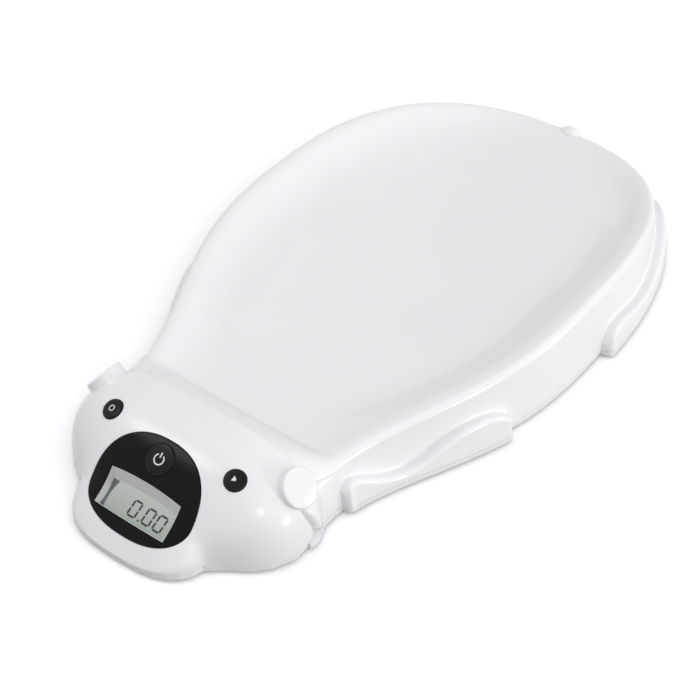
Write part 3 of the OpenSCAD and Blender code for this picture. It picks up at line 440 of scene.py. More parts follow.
def wall_profile(s0):
    """Height of each wall row over its column, and how far it stands out."""
    top, out = limb_top(s0), limb_out(s0)
    firm = ease(0.3, 2.5, out)
    shrink = np.minimum(1, out / (LEDGE_R + CREASE_R + 0.3))
    edge, crease = LEDGE_R * shrink, CREASE_R * shrink
    low = top - mix(SPREAD, edge, firm)
    rows = [(mix(SEAM_H, low, f), out) for f in np.linspace(0, 1, BELOW_N, endpoint=False)]
    ledge = []
    for a in np.linspace(0, math.pi / 2, EDGE_N):
        ledge.append((top - edge + edge * np.sin(a), out - edge + edge * np.cos(a)))
    for f in np.linspace(0, 1, LEDGE_N + 1, endpoint=False)[1:]:
        ledge.append((top, mix(out - edge, crease, f)))
    for b in np.linspace(0, math.pi / 2, CREASE_N):
        ledge.append((top + crease - crease * np.cos(b), crease - crease * np.sin(b)))
    for j, (z, o) in enumerate(ledge):
        even = top - SPREAD + 2 * SPREAD * j / (len(ledge) - 1)
        rows.append((mix(even, z, firm), o))
    high = top + mix(SPREAD, crease, firm)
    wall_top = mix(rim_at(s0) - RIM_R, HEAD_WALL, head_share(s0))
    rows += [(mix(high, wall_top, f), 0 * s0) for f in np.linspace(0, 1, ABOVE_N + 1)[1:]]
    return np.array([z for z, o in rows]), np.array([o for z, o in rows])


def shell_grid(inward=0.0, relief=1.0):
    """Rows of points over half the shell, or over its inside when inward is the
    wall's thickness."""
    x0, s0, spine = half_outline()
    reach = np.hypot(x0, s0 - spine)
    height, out = wall_profile(s0)
    inset = np.zeros_like(height)
    fine = np.linspace(0, 1, 400) ** 2
    for i in range(len(s0)):
        d = fine * np.minimum(RIDGE_IN if head_share(s0[i]) == 0 else 60, reach[i])
        f = 1 - d / reach[i]
        x, s = x0[i] * f, spine[i] + (s0[i] - spine[i]) * f
        z = mix(tray_z(d, s, rim_at(s0[i])), head_z(x, s), head_share(s0[i]))
        rise = np.maximum.accumulate(z) + 1e-6 * np.arange(len(z))
        inset[:, i] = np.interp(height[:, i], rise, d)
    at_fan = np.searchsorted(s0, FAN_S)
    for i in range(at_fan):
        inset[:, i] = inset[:, at_fan] / reach[at_fan] * reach[i]
    share = head_share(s0)
    steps = ROLL_N + len(SLOPE_ROWS) + REST_N
    roll = RIDGE_IN - RIM_R * np.cos(math.pi / 2 * np.arange(1, ROLL_N + 1) / ROLL_N)
    slope = RIDGE_IN + np.minimum(1, (reach - RIDGE_IN) / (FACET_END + 10)) * SLOPE_ROWS[:, None]
    to_middle = (np.arange(1, REST_N + 1)[:, None] / REST_N) ** 1.2
    tray = np.concatenate([
        np.tile(roll[:, None], len(s0)), slope, slope[-1] + to_middle * (reach - slope[-1])])
    to_top = (np.arange(1, steps + 1)[:, None] / steps) ** 1.5
    dome = inset[-1] + (reach - inset[-1]) * to_top
    insets = np.concatenate([inset, mix(tray, dome, share)])
    f = 1 - insets / reach
    x, s = x0 * f, spine + (s0 - spine) * f
    z = mix(tray_z(insets, s, rim_at(s0)), head_z(x, s), share)
    z[:len(height)] = np.where(s0 < FAN_S, z[:len(height)], height)
    edge = np.stack([np.gradient(s0), -np.gradient(x0)])
    edge /= np.hypot(*edge)
    stand = np.zeros_like(z)
    stand[:len(height)] = relief * (out + shoulder_out(s0 + 0 * height, height))
    if inward:
        narrow = np.maximum(0, 1 - inward / np.maximum(reach, 1))
        x, s = x * narrow, spine + (s - spine) * narrow
        z = np.where(np.arange(len(z))[:, None] == 0, z, np.maximum(z - inward, SEAM_H + 0.02))
    return np.stack([x + edge[0] * stand, s + edge[1] * stand, z], -1)


def in_frame(points):
    """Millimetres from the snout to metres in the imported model's frame."""
    return (np.asarray(points, float).reshape(-1, 3) - [0, OVERALL_LEN / 2, 0]) * MM


def new_piece(name, points, faces, material, body="housing", sharp=35):
    """A mesh object from points in millimetres, smooth except across edges
    sharper than the given angle. Without a body it is a cutter."""
    mesh = bpy.data.meshes.new(name)
    mesh.from_pydata(in_frame(points).tolist(), [], [tuple(int(i) for i in f) for f in faces])
    mesh.materials.append(material)
    piece = bpy.data.objects.new(name, mesh)
    bpy.context.scene.collection.objects.link(piece)
    finish(piece, sharp)
    if body:
        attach(piece, body)
    return piece


def finish(piece, sharp=35):
    """Merges points that meet, turns the faces outward and shades them smooth
    between sharp edges."""
    work = bmesh.new()
    work.from_mesh(piece.data)
    bmesh.ops.remove_doubles(work, verts=work.verts, dist=1e-6)
    bmesh.ops.dissolve_degenerate(work, edges=work.edges, dist=1e-7)
    bmesh.ops.recalc_face_normals(work, faces=work.faces)
    work.to_mesh(piece.data)
    work.free()
    piece.data.shade_smooth()
    piece.data.set_sharp_from_angle(angle=math.radians(sharp))
    piece.data.update()


def grid_faces(rows, columns, close=False, start=0):
    """Quads between neighbouring rows of a grid of points."""
    last = columns if close else columns - 1
    return [
        (start + k * columns + i, start + k * columns + (i + 1) % columns,
         start + (k + 1) * columns + (i + 1) % columns, start + (k + 1) * columns + i)
        for k in range(rows - 1) for i in range(last)
    ]


def cut(piece, cutters):
    """Cuts closed pieces out of a closed piece and removes them."""
    for cutter in cutters:
        modifier = piece.modifiers.new("cut", "BOOLEAN")
        modifier.operation = "DIFFERENCE"
        modifier.solver = "MANIFOLD"
        modifier.object = cutter
    evaluated = piece.evaluated_get(bpy.context.evaluated_depsgraph_get())
    changed = bpy.data.meshes.new_from_object(evaluated)
    piece.modifiers.clear()
    piece.data = changed
    for cutter in cutters:
        bpy.data.objects.remove(cutter)
    finish(piece)


def whole(half):
    """Both halves of a grid whose first and last columns lie on the middle line."""
    return np.concatenate([half, half[:, -2:0:-1] * [-1, 1, 1]], 1)


def prism(name, ring, low, high, material):
    """Closed prism between two placements of one ring: low and high turn its
    points into space."""
    count = len(ring)
    points = [low(p) for p in ring] + [high(p) for p in ring]
    faces = [(i, (i + 1) % count, count + (i + 1) % count, count + i) for i in range(count)]
    faces += [tuple(range(count)), tuple(range(count, 2 * count))]
    return new_piece(name, points, faces, material, body=None)


def pitch(mm):
    """Scale of a noise whose features are this many millimetres wide."""
    return 1 / (mm * MM)


# White ABS off a polished mould: almost neutral, with a clear gloss, the slow
# waviness of a large wall, and an orange peel that is really about 0.3 mm wide
# and is drawn wider so that it shows
WAVE, PEEL = pitch(45), pitch(1.1)
white_abs, tree, out = new_material("polished_white_abs")
place = node(tree, "ShaderNodeTexCoord").outputs["Object"]
wave = node(tree, "ShaderNodeTexNoise", links={"Vector": place}, Scale=WAVE, Detail=1.0)
peel = node(tree, "ShaderNodeTexNoise", links={"Vector": place}, Scale=PEEL, Detail=2.0)
wave_bump = node(tree, "ShaderNodeBump", links={"Height": wave.outputs[0]},
                 Strength=0.03, Distance=0.002)
peel_bump = node(tree, "ShaderNodeBump",
                 links={"Height": peel.outputs[0], "Normal": wave_bump.outputs[0]},
                 Strength=0.02, Distance=0.0001)
tint = node(tree, "ShaderNodeMix", data_type="RGBA", links={0: wave.outputs[0]})
tint.inputs[6].default_value = linear("#EDEEEF")
tint.inputs[7].default_value = linear("#F2F2F3")
shader = node(tree, "ShaderNodeBsdfPrincipled", Roughness=0.22, IOR=1.5,
              links={"Base Color": tint.outputs[2], "Normal": peel_bump.outputs[0]})
tree.links.new(shader.outputs[0], out.inputs[0])

outside = whole(shell_grid())
inside = whole(shell_grid(inward=WALL, relief=0.0))
shell_rows, shell_columns = outside.shape[:2]
shell_points = np.concatenate([outside.reshape(-1, 3), inside.reshape(-1, 3)])
inner_start = shell_rows * shell_columns
shell_faces = grid_faces(shell_rows, shell_columns, close=True)
inner_faces = grid_faces(shell_rows, shell_columns, close=True, start=inner_start)
shell_faces += [face[::-1] for face in inner_faces]
for i in range(shell_columns):
    after = (i + 1) % shell_columns
    shell_faces.append((i, inner_start + i, inner_start + after, after))
shell = new_piece("tray_and_head", shell_points, shell_faces, white_abs)
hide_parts("top_shell")


def coat(material, *names):
    """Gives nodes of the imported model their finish."""
    for name in names:
        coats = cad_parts[name].data.materials
        coats.clear()
        coats.append(material)


coat(white_abs, "top_shell")

# ---- Ears and tail ----
# Round knobs of the same white ABS moulding as the shell: two flat ears that
# lean out over the shoulders, and a small egg of a tail on the rim's rear.
# Each has the soft edge that a polished mould leaves.
EAR_X, EAR_S, EAR_R, EAR_T = 87, 93, 14.5, 8
EAR_TILT, EAR_SUNK, EAR_DEEP = math.radians(50), 2, 3
EAR_ROUND, EAR_DOME = 1.8, 0.45
ROUND_N = 72


def lathe(name, profile, place, material, body="housing", count=ROUND_N):
    """Turns a profile of (radius, height), which starts and ends on the axis,
    about the axis of place."""
    middle = profile[1:-1]
    turn = np.linspace(0, 2 * math.pi, count, endpoint=False)
    points = [place(0, 0, profile[0][1])]
    for r, h in middle:
        points += [place(r * math.cos(a), r * math.sin(a), h) for a in turn]
    points.append(place(0, 0, profile[-1][1]))
    faces = [(0, 1 + i, 1 + (i + 1) % count) for i in range(count)]
    faces += grid_faces(len(middle), count, close=True, start=1)
    last = 1 + (len(middle) - 1) * count
    faces += [(last + i, len(points) - 1, last + (i + 1) % count) for i in range(count)]
    return new_piece(name, points, faces, material, body=body)


def arc(cx, cz, r, a0, a1, steps=8):
    """Points of an arc in a profile, angles in degrees from the radial direction."""
    return [(cx + r * math.cos(math.radians(mix(a0, a1, i / steps))),
             cz + r * math.sin(math.radians(mix(a0, a1, i / steps)))) for i in range(steps + 1)]


def on_ear(side):
    """Placement of an ear, whose axis leans outward."""
    base = np.array([EAR_X, EAR_S, float(skin_z(EAR_X, EAR_S))])
    axis = np.array([math.sin(EAR_TILT), 0, math.cos(EAR_TILT)])
    across = np.array([math.cos(EAR_TILT), 0, -math.sin(EAR_TILT)])
    return lambda a, b, h: (base + across * a + np.array([0, 1, 0]) * b + axis * h) * [side, 1, 1]


ear_top, ear_foot = EAR_T - EAR_SUNK, -EAR_SUNK - EAR_DEEP
ear_profile = [(0, ear_foot), (EAR_R, ear_foot)]
ear_profile += arc(EAR_R - EAR_ROUND, ear_top - EAR_ROUND, EAR_ROUND, 0, 78)
ear_profile += [(EAR_R * f, ear_top + h) for f, h in ((0.6, 0.25), (0.3, 0.4), (0, EAR_DOME))]
for side, name in ((-1, "left_ear"), (1, "right_ear")):
    lathe(name, ear_profile, on_ear(side), white_abs)

TAIL_R, TAIL_DEPTH, TAIL_HEIGHT = 9, 0.7, 0.55
tail_at = np.array([0, OVERALL_LEN - RIDGE_IN + 2, RIM_TAIL_H - 1])
tail_profile = [(TAIL_R * math.sin(a), -TAIL_R * math.cos(a)) for a in np.linspace(0, math.pi, 25)]


def on_rim(a, b, h):
    """Placement of the tail, flattened along the scale and from above."""
    return tail_at + np.array([a, TAIL_DEPTH * b, TAIL_HEIGHT * h])


lathe("tail_knob", tail_profile, on_rim, white_abs, count=48)

# ---- Display panel ----
# Egg-shaped insert of black ABS let into the brow, its polished face half a
# millimetre proud of the shell. It is laid on the head's own curve, clips
# into an opening of the shell, and is cut out for the window and main key.
# The display's plane: where it meets the head's skin, and how steep it is
LCD_S, PANEL_TILT = 28, math.radians(36)
LCD_Z = float(skin_z(0, LCD_S))
COS_TILT, SIN_TILT = math.cos(PANEL_TILT), math.sin(PANEL_TILT)
# Panel: middle, half width, reach down and up, and how square its egg is,
# then its lip over the skin, thickness, edge rounding, seat and gap all round
PANEL_V, PANEL_R, PANEL_LOW, PANEL_HIGH, EGG_P = 4.5, 45, 28.5, 44, 2.3
PANEL_LIP, PANEL_T, PANEL_ROUND, PANEL_SEAT, GAP = 0.6, 2.2, 0.7, 1.5, 0.3
# Window with the bow of its four sides, its lining, and the keys' holes
WINDOW_W, WINDOW_H, WINDOW_D = 62, 26, 5
WINDOW_BOW, LINING_T, LINING_GAP = (0.3, 0.6, 2.2, -0.8), 0.45, 0.03
KEY_V, MAIN_KEY_D, SIDE_KEY_D, KEY_GAP = 33.5, 23, 16, 0.35
SIDE_KEY_X, SIDE_KEY_S = 56, 67
# How far the cutters reach below and above what they cut
WINDOW_CUT, PANEL_CUT, BORE_CUT = (-14, 14), (-20, 24), (-9, 6)


def on_panel(x, v, n):
    """Points over the display's plane: x across, v up the slope, n out of it."""
    return np.stack(np.broadcast_arrays(
        x, LCD_S + v * COS_TILT - n * SIN_TILT, LCD_Z + v * SIN_TILT + n * COS_TILT), -1)


def skin_n(x, v):
    """Height of the shell's outside over the display's plane."""
    n = 0 * x
    for _ in range(8):
        p = on_panel(x, v, n)
        n = n + (skin_z(x, p[..., 1]) - p[..., 2]) * COS_TILT
    return n


def egg(turn, d):
    """Points of the panel's edge in the display's plane, moved outward by d."""
    sn, cs = np.sin(turn), np.cos(turn)
    reach = np.where(cs > 0, PANEL_LOW, PANEL_HIGH)
    return ((PANEL_R + d) * np.sign(sn) * np.abs(sn) ** (2 / EGG_P),
            PANEL_V - (reach + d) * np.sign(cs) * np.abs(cs) ** (2 / EGG_P))


EGG_N, FACE_N, EDGE_ARC_N = 180, 16, 6
egg_turns = np.linspace(0, 2 * math.pi, EGG_N, endpoint=False)


def egg_ring(share, d, lip):
    """Ring over the panel at a share of its size, moved by d, at height lip
    over the shell."""
    x, v = egg(egg_turns, d)
    x, v = x * share, PANEL_V + (v - PANEL_V) * share
    return list(on_panel(x, v, skin_n(x, v) + lip))


# Face from its middle outward, round its edge, down its side and back under it
rings = [egg_ring(share, -PANEL_ROUND, PANEL_LIP) for share in np.linspace(0, 1, FACE_N + 1)[1:]]
for a in np.linspace(0, math.pi / 2, EDGE_ARC_N)[1:]:
    rings.append(egg_ring(1, PANEL_ROUND * (math.sin(a) - 1),
                          PANEL_LIP - PANEL_ROUND * (1 - math.cos(a))))
rings += [egg_ring(1, 0, -PANEL_T - PANEL_SEAT), egg_ring(0.6, 0, -PANEL_T)]
middle_n = skin_n(0.0, PANEL_V)
panel_points = [on_panel(0.0, PANEL_V, middle_n + PANEL_LIP)]
for ring in rings:
    panel_points += ring
panel_points.append(on_panel(0.0, PANEL_V, middle_n - PANEL_T))
panel_faces = grid_faces(len(rings), EGG_N, close=True, start=1)
last_ring = 1 + (len(rings) - 1) * EGG_N
for i in range(EGG_N):
    after = (i + 1) % EGG_N
    panel_faces.append((0, 1 + i, 1 + after))
    panel_faces.append((last_ring + i, len(panel_points) - 1, last_ring + after))

# Black ABS, polished like a piano lid: deep and even, with a highlight that
# fine wiping scratches break up. The real ones are a tenth of this width.
WIPE = pitch(2.4)
black_gloss, tree, out = new_material("polished_black_abs")
place = node(tree, "ShaderNodeTexCoord").outputs["Object"]
wipe = node(tree, "ShaderNodeTexNoise", links={"Vector": place}, Scale=WIPE, Detail=4.0)
sheen = node(tree, "ShaderNodeMapRange", links={0: wipe.outputs[0]})
sheen.inputs["To Min"].default_value = 0.16
sheen.inputs["To Max"].default_value = 0.3
wipe_bump = node(tree, "ShaderNodeBump", links={"Height": wipe.outputs[0]},
                 Strength=0.04, Distance=0.0001)
shader = node(tree, "ShaderNodeBsdfPrincipled",
              links={"Roughness": sheen.outputs[0], "Normal": wipe_bump.outputs[0]},
              Base_Color=linear("#050607"), IOR=1.5, Specular_IOR_Level=0.14)
tree.links.new(shader.outputs[0], out.inputs[0])

panel = new_piece("black_panel", panel_points, panel_faces, black_gloss)
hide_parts("display_panel")
coat(black_gloss, "display_panel")


def normal_at(x, s):
    """Outward normal of the shell over a point of the plan."""
    h = 0.5
    across = float(skin_z(x + h, s) - skin_z(x - h, s))
    along = float(skin_z(x, s + h) - skin_z(x, s - h))
    n = np.array([-across, -along, 2 * h])
    return n / np.linalg.norm(n)


def frame_at(x, s, side=1):
    """Placement of a round piece that stands on the shell along its normal."""
    base = np.array([x, s, float(skin_z(x, s))])
    axis = normal_at(x, s)
    across = np.cross([0, 1, 0], axis)
    across /= np.linalg.norm(across)
    along = np.cross(axis, across)
    return lambda a, b, h: (base + across * a + along * b + axis * h) * [side, 1, 1]


key_n = float(skin_n(0.0, KEY_V))
KEY_S = LCD_S + KEY_V * COS_TILT - key_n * SIN_TILT
on_main_key = frame_at(0, KEY_S)
on_right_key = frame_at(SIDE_KEY_X, SIDE_KEY_S)
on_left_key = frame_at(SIDE_KEY_X, SIDE_KEY_S, -1)


def bore(name, place, diameter, material):
    """Cutter for the round hole of a key."""
    r, (low, high) = diameter / 2 + KEY_GAP, BORE_CUT
    profile = [(0, low), (r, low), (r, high), (0, high)]
    return lathe(name, profile, place, material, body=None, count=96)


def bowed(x0, v0, x1, v1, bow, steps=16):
    """Points from one corner towards the next, bowed sideways."""
    length = math.hypot(x1 - x0, v1 - v0)
    out_x, out_v = (v1 - v0) / length, (x0 - x1) / length
    return [(mix(x0, x1, f) + 4 * bow * f * (1 - f) * out_x,
             mix(v0, v1, f) + 4 * bow * f * (1 - f) * out_v)
            for f in np.linspace(0, 1, steps, endpoint=False)]


def four_sided(left, low, right, high, bows):
    """Closed ring with four sides, each bowed outward by its own amount."""
    corners = [(left, low), (right, low), (right, high), (left, high), (left, low)]
    ring = []
    for (x0, v0), (x1, v1), bow in zip(corners, corners[1:], bows):
        ring += bowed(x0, v0, x1, v1, bow)
    return np.array(ring).T


def window_ring(over):
    """The window's outline, moved outward by a little."""
    x, v = WINDOW_W / 2 + over, WINDOW_H / 2 + over
    return four_sided(-x, -v, x, v, WINDOW_BOW)


def panel_prism(name, ring, low, high, material):
    """Prism square to the display's plane, between two heights over it."""
    return prism(name, list(zip(*ring)), lambda p: on_panel(*p, low),
                 lambda p: on_panel(*p, high), material)


cut(panel, [
    panel_prism("window_cut", window_ring(LINING_T + LINING_GAP), *WINDOW_CUT, black_gloss),
    bore("main_key_bore", on_main_key, MAIN_KEY_D, black_gloss),
])
cut(shell, [
    panel_prism("panel_cut", egg(egg_turns, GAP), *PANEL_CUT, white_abs),
    bore("right_key_bore", on_right_key, SIDE_KEY_D, white_abs),
    bore("left_key_bore", on_left_key, SIDE_KEY_D, white_abs),
])

# ---- Window lining ----
# Funnel of light grey ABS from the panel's window down to the glass. Its
# walls slope, broad above the glass and at its left, so that the digits can
# be read from above. It drops in from behind and is held by the panel.
GLASS_LEFT, GLASS_RIGHT = -WINDOW_W / 2 + 2, WINDOW_W / 2 - 3
GLASS_LOW, GLASS_HIGH = -WINDOW_H / 2 - 0.4, WINDOW_H / 2 - 6.4
GLASS_BOW = (0.3, 0.6, 1.8, -1.0)
LINING_DROP, LINING_RIM, BOARD_DEEP = 0.15, 0.6, 9.4
LINING_FOOT = 0.1 - BOARD_DEEP

# Light grey ABS off a finely etched mould: dull, with a grain of about 0.2 mm
# that is drawn three times as wide
grey_lining, tree, out = new_material("etched_grey_abs")
place = node(tree, "ShaderNodeTexCoord").outputs["Object"]
etch = node(tree, "ShaderNodeTexNoise", links={"Vector": place}, Scale=pitch(0.65), Detail=2.0)
etch_bump = node(tree, "ShaderNodeBump", links={"Height": etch.outputs[0]},
                 Strength=0.15, Distance=0.00005)
tint = node(tree, "ShaderNodeMix", data_type="RGBA", links={0: etch.outputs[0]})
tint.inputs[6].default_value = linear("#CFD0D0")
tint.inputs[7].default_value = linear("#D9D9DA")
shader = node(tree, "ShaderNodeBsdfPrincipled", Roughness=0.42,
              links={"Base Color": tint.outputs[2], "Normal": etch_bump.outputs[0]})
tree.links.new(shader.outputs[0], out.inputs[0])

outer_ring, mouth_ring = window_ring(LINING_T), window_ring(0)
glass_ring = four_sided(GLASS_LEFT, GLASS_LOW, GLASS_RIGHT, GLASS_HIGH, GLASS_BOW)


def lining_top(ring):
    """Height of the lining's edge, just under the panel's face."""
    return skin_n(*ring) + PANEL_LIP - LINING_DROP


# Up the outside, over the rim, down the sloping walls, and down to the foot
lining_points = np.concatenate([
    on_panel(*outer_ring, LINING_FOOT),
    on_panel(*outer_ring, lining_top(outer_ring)),
    on_panel(*mouth_ring, lining_top(mouth_ring)),
    on_panel(*mouth_ring, lining_top(mouth_ring) - LINING_RIM),
    on_panel(*glass_ring, -WINDOW_D),
    on_panel(*glass_ring, LINING_FOOT),
])
ring_n = outer_ring.shape[1]
lining_faces = grid_faces(len(lining_points) // ring_n, ring_n, close=True)
last_ring = len(lining_points) - ring_n
for i in range(ring_n):
    after = (i + 1) % ring_n
    lining_faces.append((last_ring + i, last_ring + after, after, i))
lining = new_piece("display_lining", lining_points, lining_faces, grey_lining,
                   sharp=25)
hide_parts("lcd_frame")
coat(grey_lining, "lcd_frame")

# ---- Display glass and digits ----
# Reflective liquid-crystal cell behind the lining, joined to the board by a
# rubber strip. It shows plain seven-segment zeros with a point, and at its left
# a grey strip of painted shade along the lining's left wall.
GLASS_OVER, GLASS_T, FILM, INK_T, PAINTED_SHADE_T = 1, 2.2, 0.02, 0.05, 0.12
# Width of the painted shade strip at its foot and head, and the bow of its sides
PAINTED_SHADE_FOOT, PAINTED_SHADE_HEAD, PAINTED_SHADE_BOWS = 3.7, 5.7, (-1.4, -1.2)

# Clear polished glass over a greenish grey reflector, darker at its foot with
# painted shade and lighter towards its top with a painted sheen, and with the
# reflector's grain, which is really under 0.1 mm
lcd_painted_sheen_material, tree, out = new_material("display_glass_painted_sheen")
place = node(tree, "ShaderNodeTexCoord").outputs["Object"]
parts = node(tree, "ShaderNodeSeparateXYZ", links={0: place})
# Painted shade low on the glass, lightening with height into a painted sheen
rise = node(tree, "ShaderNodeMapRange", links={0: parts.outputs["Z"]})
rise.inputs["From Min"].default_value = 18 * MM
rise.inputs["From Max"].default_value = 36 * MM
tint = node(tree, "ShaderNodeMix", data_type="RGBA", links={0: rise.outputs[0]})
tint.inputs[6].default_value = linear("#98A398")
tint.inputs[7].default_value = linear("#C6CBC6")
speck = node(tree, "ShaderNodeTexNoise", links={"Vector": place}, Scale=pitch(0.38), Detail=1.0)
grain = node(tree, "ShaderNodeMix", data_type="RGBA", blend_type="MULTIPLY",
             links={6: tint.outputs[2], 7: speck.outputs["Color"]})
grain.inputs[0].default_value = 0.05
shader = node(tree, "ShaderNodeBsdfPrincipled", links={"Base Color": grain.outputs[2]},
              Roughness=0.3, Coat_Weight=1.0, Coat_Roughness=0.04)
tree.links.new(shader.outputs[0], out.inputs[0])


def slab(name, ring, low, high, material):
    """Closed flat slab between two heights over the display's plane."""
    piece = panel_prism(name, ring, low, high, material)
    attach(piece, "housing")
    return piece


glass_x, glass_v = WINDOW_W / 2 + GLASS_OVER, WINDOW_H / 2 + GLASS_OVER
glass_edge = [(-glass_x, glass_x, glass_x, -glass_x), (-glass_v, -glass_v, glass_v, glass_v)]
glass = slab("display_glass", glass_edge, -WINDOW_D - GLASS_T, -WINDOW_D - FILM,
             lcd_painted_sheen_material)
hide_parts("lcd_glass")
coat(lcd_painted_sheen_material, "lcd_glass")


def ink_and_painted_shade(name, low, high, mm, roughness):
    """Screen-printed ink, and also the grey sheet of painted shade on the glass: a
    slightly uneven tone, with patches this many millimetres wide."""
    material, tree, out = new_material(name)
    place = node(tree, "ShaderNodeTexCoord").outputs["Object"]
    patch = node(tree, "ShaderNodeTexNoise", links={"Vector": place}, Scale=pitch(mm))
    tint = node(tree, "ShaderNodeMix", data_type="RGBA", links={0: patch.outputs[0]})
    tint.inputs[6].default_value = linear(low)
    tint.inputs[7].default_value = linear(high)
    shader = node(tree, "ShaderNodeBsdfPrincipled", links={"Base Color": tint.outputs[2]},
                  Roughness=roughness)
    tree.links.new(shader.outputs[0], out.inputs[0])
    return material


# Painted shade: a grey sheet on the glass along the lining's left wall, even, and
# as glossy as the glass
painted_shade_sheet = ink_and_painted_shade("painted_shade_grey_sheet", "#54585A", "#606466", 1.1, 0.35)
painted_shade_ring = (bowed(GLASS_LEFT, GLASS_LOW, GLASS_LEFT + PAINTED_SHADE_FOOT, GLASS_LOW, 0, 4)
               + bowed(GLASS_LEFT + PAINTED_SHADE_FOOT, GLASS_LOW, GLASS_LEFT + PAINTED_SHADE_HEAD, GLASS_HIGH,
                       PAINTED_SHADE_BOWS[0])
               + bowed(GLASS_LEFT + PAINTED_SHADE_HEAD, GLASS_HIGH, GLASS_LEFT, GLASS_HIGH, 0, 4)
               + bowed(GLASS_LEFT, GLASS_HIGH, GLASS_LEFT, GLASS_LOW, PAINTED_SHADE_BOWS[1]))
# The sheet of painted shade, laid on the glass at its left
slab("painted_shade_strip_left", list(zip(*painted_shade_ring)), -WINDOW_D - FILM, -WINDOW_D + PAINTED_SHADE_T,
     painted_shade_sheet)

# Switched liquid crystal: nearly black with a green cast, crisp at its edges
segment_ink = ink_and_painted_shade("switched_liquid_crystal", "#1E2723", "#2B3530", 0.85, 0.4)
DIGIT_W, DIGIT_H, BAR_T, BAR_GAP, LEAN = 6.5, 11.4, 1.5, 0.2, 0.1
DIGITS_AT, DIGITS_V, MID_V = (-5.9, 6.9, 17.0), -9.9, 5.7
POINT_AT, POINT_RING = 3.6, ((0, -0.7), (1.4, -0.7), (1.5, 0.7), (0.1, 0.7))
digit_points, digit_faces = [], []


def ink(outline):
    """Adds a thin plate with this outline to the digits' mesh."""
    start, n = len(digit_points), len(outline)
    for level in (-WINDOW_D - FILM, -WINDOW_D + INK_T):
        digit_points.extend(on_panel(x, v, level) for x, v in outline)
    digit_faces.append(tuple(range(start, start + n)))
    digit_faces.append(tuple(range(start + n, start + 2 * n)))
    for i in range(n):
        after = (i + 1) % n
        digit_faces.append((start + i, start + after, start + n + after, start + n + i))


def bar(x0, v0, x1, v1, x_at):
    """One segment of a leaning digit, with pointed ends."""
    length = math.hypot(x1 - x0, v1 - v0)
    ax, av = (x1 - x0) / length, (v1 - v0) / length
    h, far = BAR_T / 2, length - BAR_GAP
    outline = []
    for a, b in ((BAR_GAP, 0), (BAR_GAP + h, -h), (far - h, -h),
                 (far, 0), (far - h, h), (BAR_GAP + h, h)):
        x, v = x0 + ax * a - av * b, v0 + av * a + ax * b
        outline.append((x_at + x + LEAN * v, DIGITS_V + v))
    ink(outline)


zero_bars = ((0, 0, DIGIT_W, 0), (0, DIGIT_H, DIGIT_W, DIGIT_H),
             (0, 0, 0, MID_V), (0, MID_V, 0, DIGIT_H),
             (DIGIT_W, 0, DIGIT_W, MID_V), (DIGIT_W, MID_V, DIGIT_W, DIGIT_H))
for x_at in DIGITS_AT:
    for ends in zero_bars:
        bar(*ends, x_at)
ink([(POINT_AT + x, DIGITS_V + v) for x, v in POINT_RING])
new_piece("display_digits", digit_points, digit_faces, segment_ink)

# ---- Keys ----
# Three caps of black ABS with softly domed tops, each in a round hole with a
# thin gap and held from behind by a flange. A nub under each presses a
# switch. Every cap has a plain sign printed on it in white.
FLANGE, FLANGE_T, NUB_R = 0.9, 1.2, 2
KEY_SKIRT, SIDE_SKIRT, SIDE_NUB = 4.2, WALL + 4.6, 0.3
KEY_ROUND, DOME_EDGE, DOME_RISE = 0.9, 1.02, 0.48
# Under the main key: height of the switch on the board, the key's travel, and
# the air left over the switch at its end
SWITCH_H, KEY_TRAVEL, NUB_AIR = 3.2, 1, 0.15


def dome_height(radius, diameter):
    """Height of a key's top over the shell."""
    return DOME_EDGE + DOME_RISE * (1 - (2 * radius / diameter) ** 2)


def key_profile(diameter, skirt, nub):
    """Section of a key: nub, flange, side, rounded shoulder and shallow dome."""
    r = diameter / 2
    profile = [(0, -skirt - nub), (NUB_R, -skirt - nub), (NUB_R, -skirt), (r + FLANGE, -skirt),
               (r + FLANGE, -skirt + FLANGE_T), (r, -skirt + FLANGE_T)]
    profile += arc(r - KEY_ROUND, 0.1, KEY_ROUND, 0, 75, 7)
    for f in (0.88, 0.78, 0.65, 0.5, 0.35, 0.2, 0.1, 0):
        profile.append((r * f, dome_height(r * f, diameter)))
    return profile


# Black ABS dulled by fingers: a softer highlight than the panel's, broken up
# by the ridges of fingertips, which are half a millimetre wide and are drawn
# nearly three times as wide
TOUCH = pitch(1.4)
key_black, tree, out = new_material("moulded_black_abs")
place = node(tree, "ShaderNodeTexCoord").outputs["Object"]
touch = node(tree, "ShaderNodeTexNoise", links={"Vector": place}, Scale=TOUCH, Detail=3.0)
touch_sheen = node(tree, "ShaderNodeMapRange", links={0: touch.outputs[0]})
touch_sheen.inputs["To Min"].default_value = 0.22
touch_sheen.inputs["To Max"].default_value = 0.38
touch_bump = node(tree, "ShaderNodeBump", links={"Height": touch.outputs[0]},
                  Strength=0.05, Distance=0.0001)
shader = node(tree, "ShaderNodeBsdfPrincipled",
              links={"Roughness": touch_sheen.outputs[0], "Normal": touch_bump.outputs[0]},
              Base_Color=linear("#0A0B0C"), IOR=1.5, Specular_IOR_Level=0.2)
tree.links.new(shader.outputs[0], out.inputs[0])

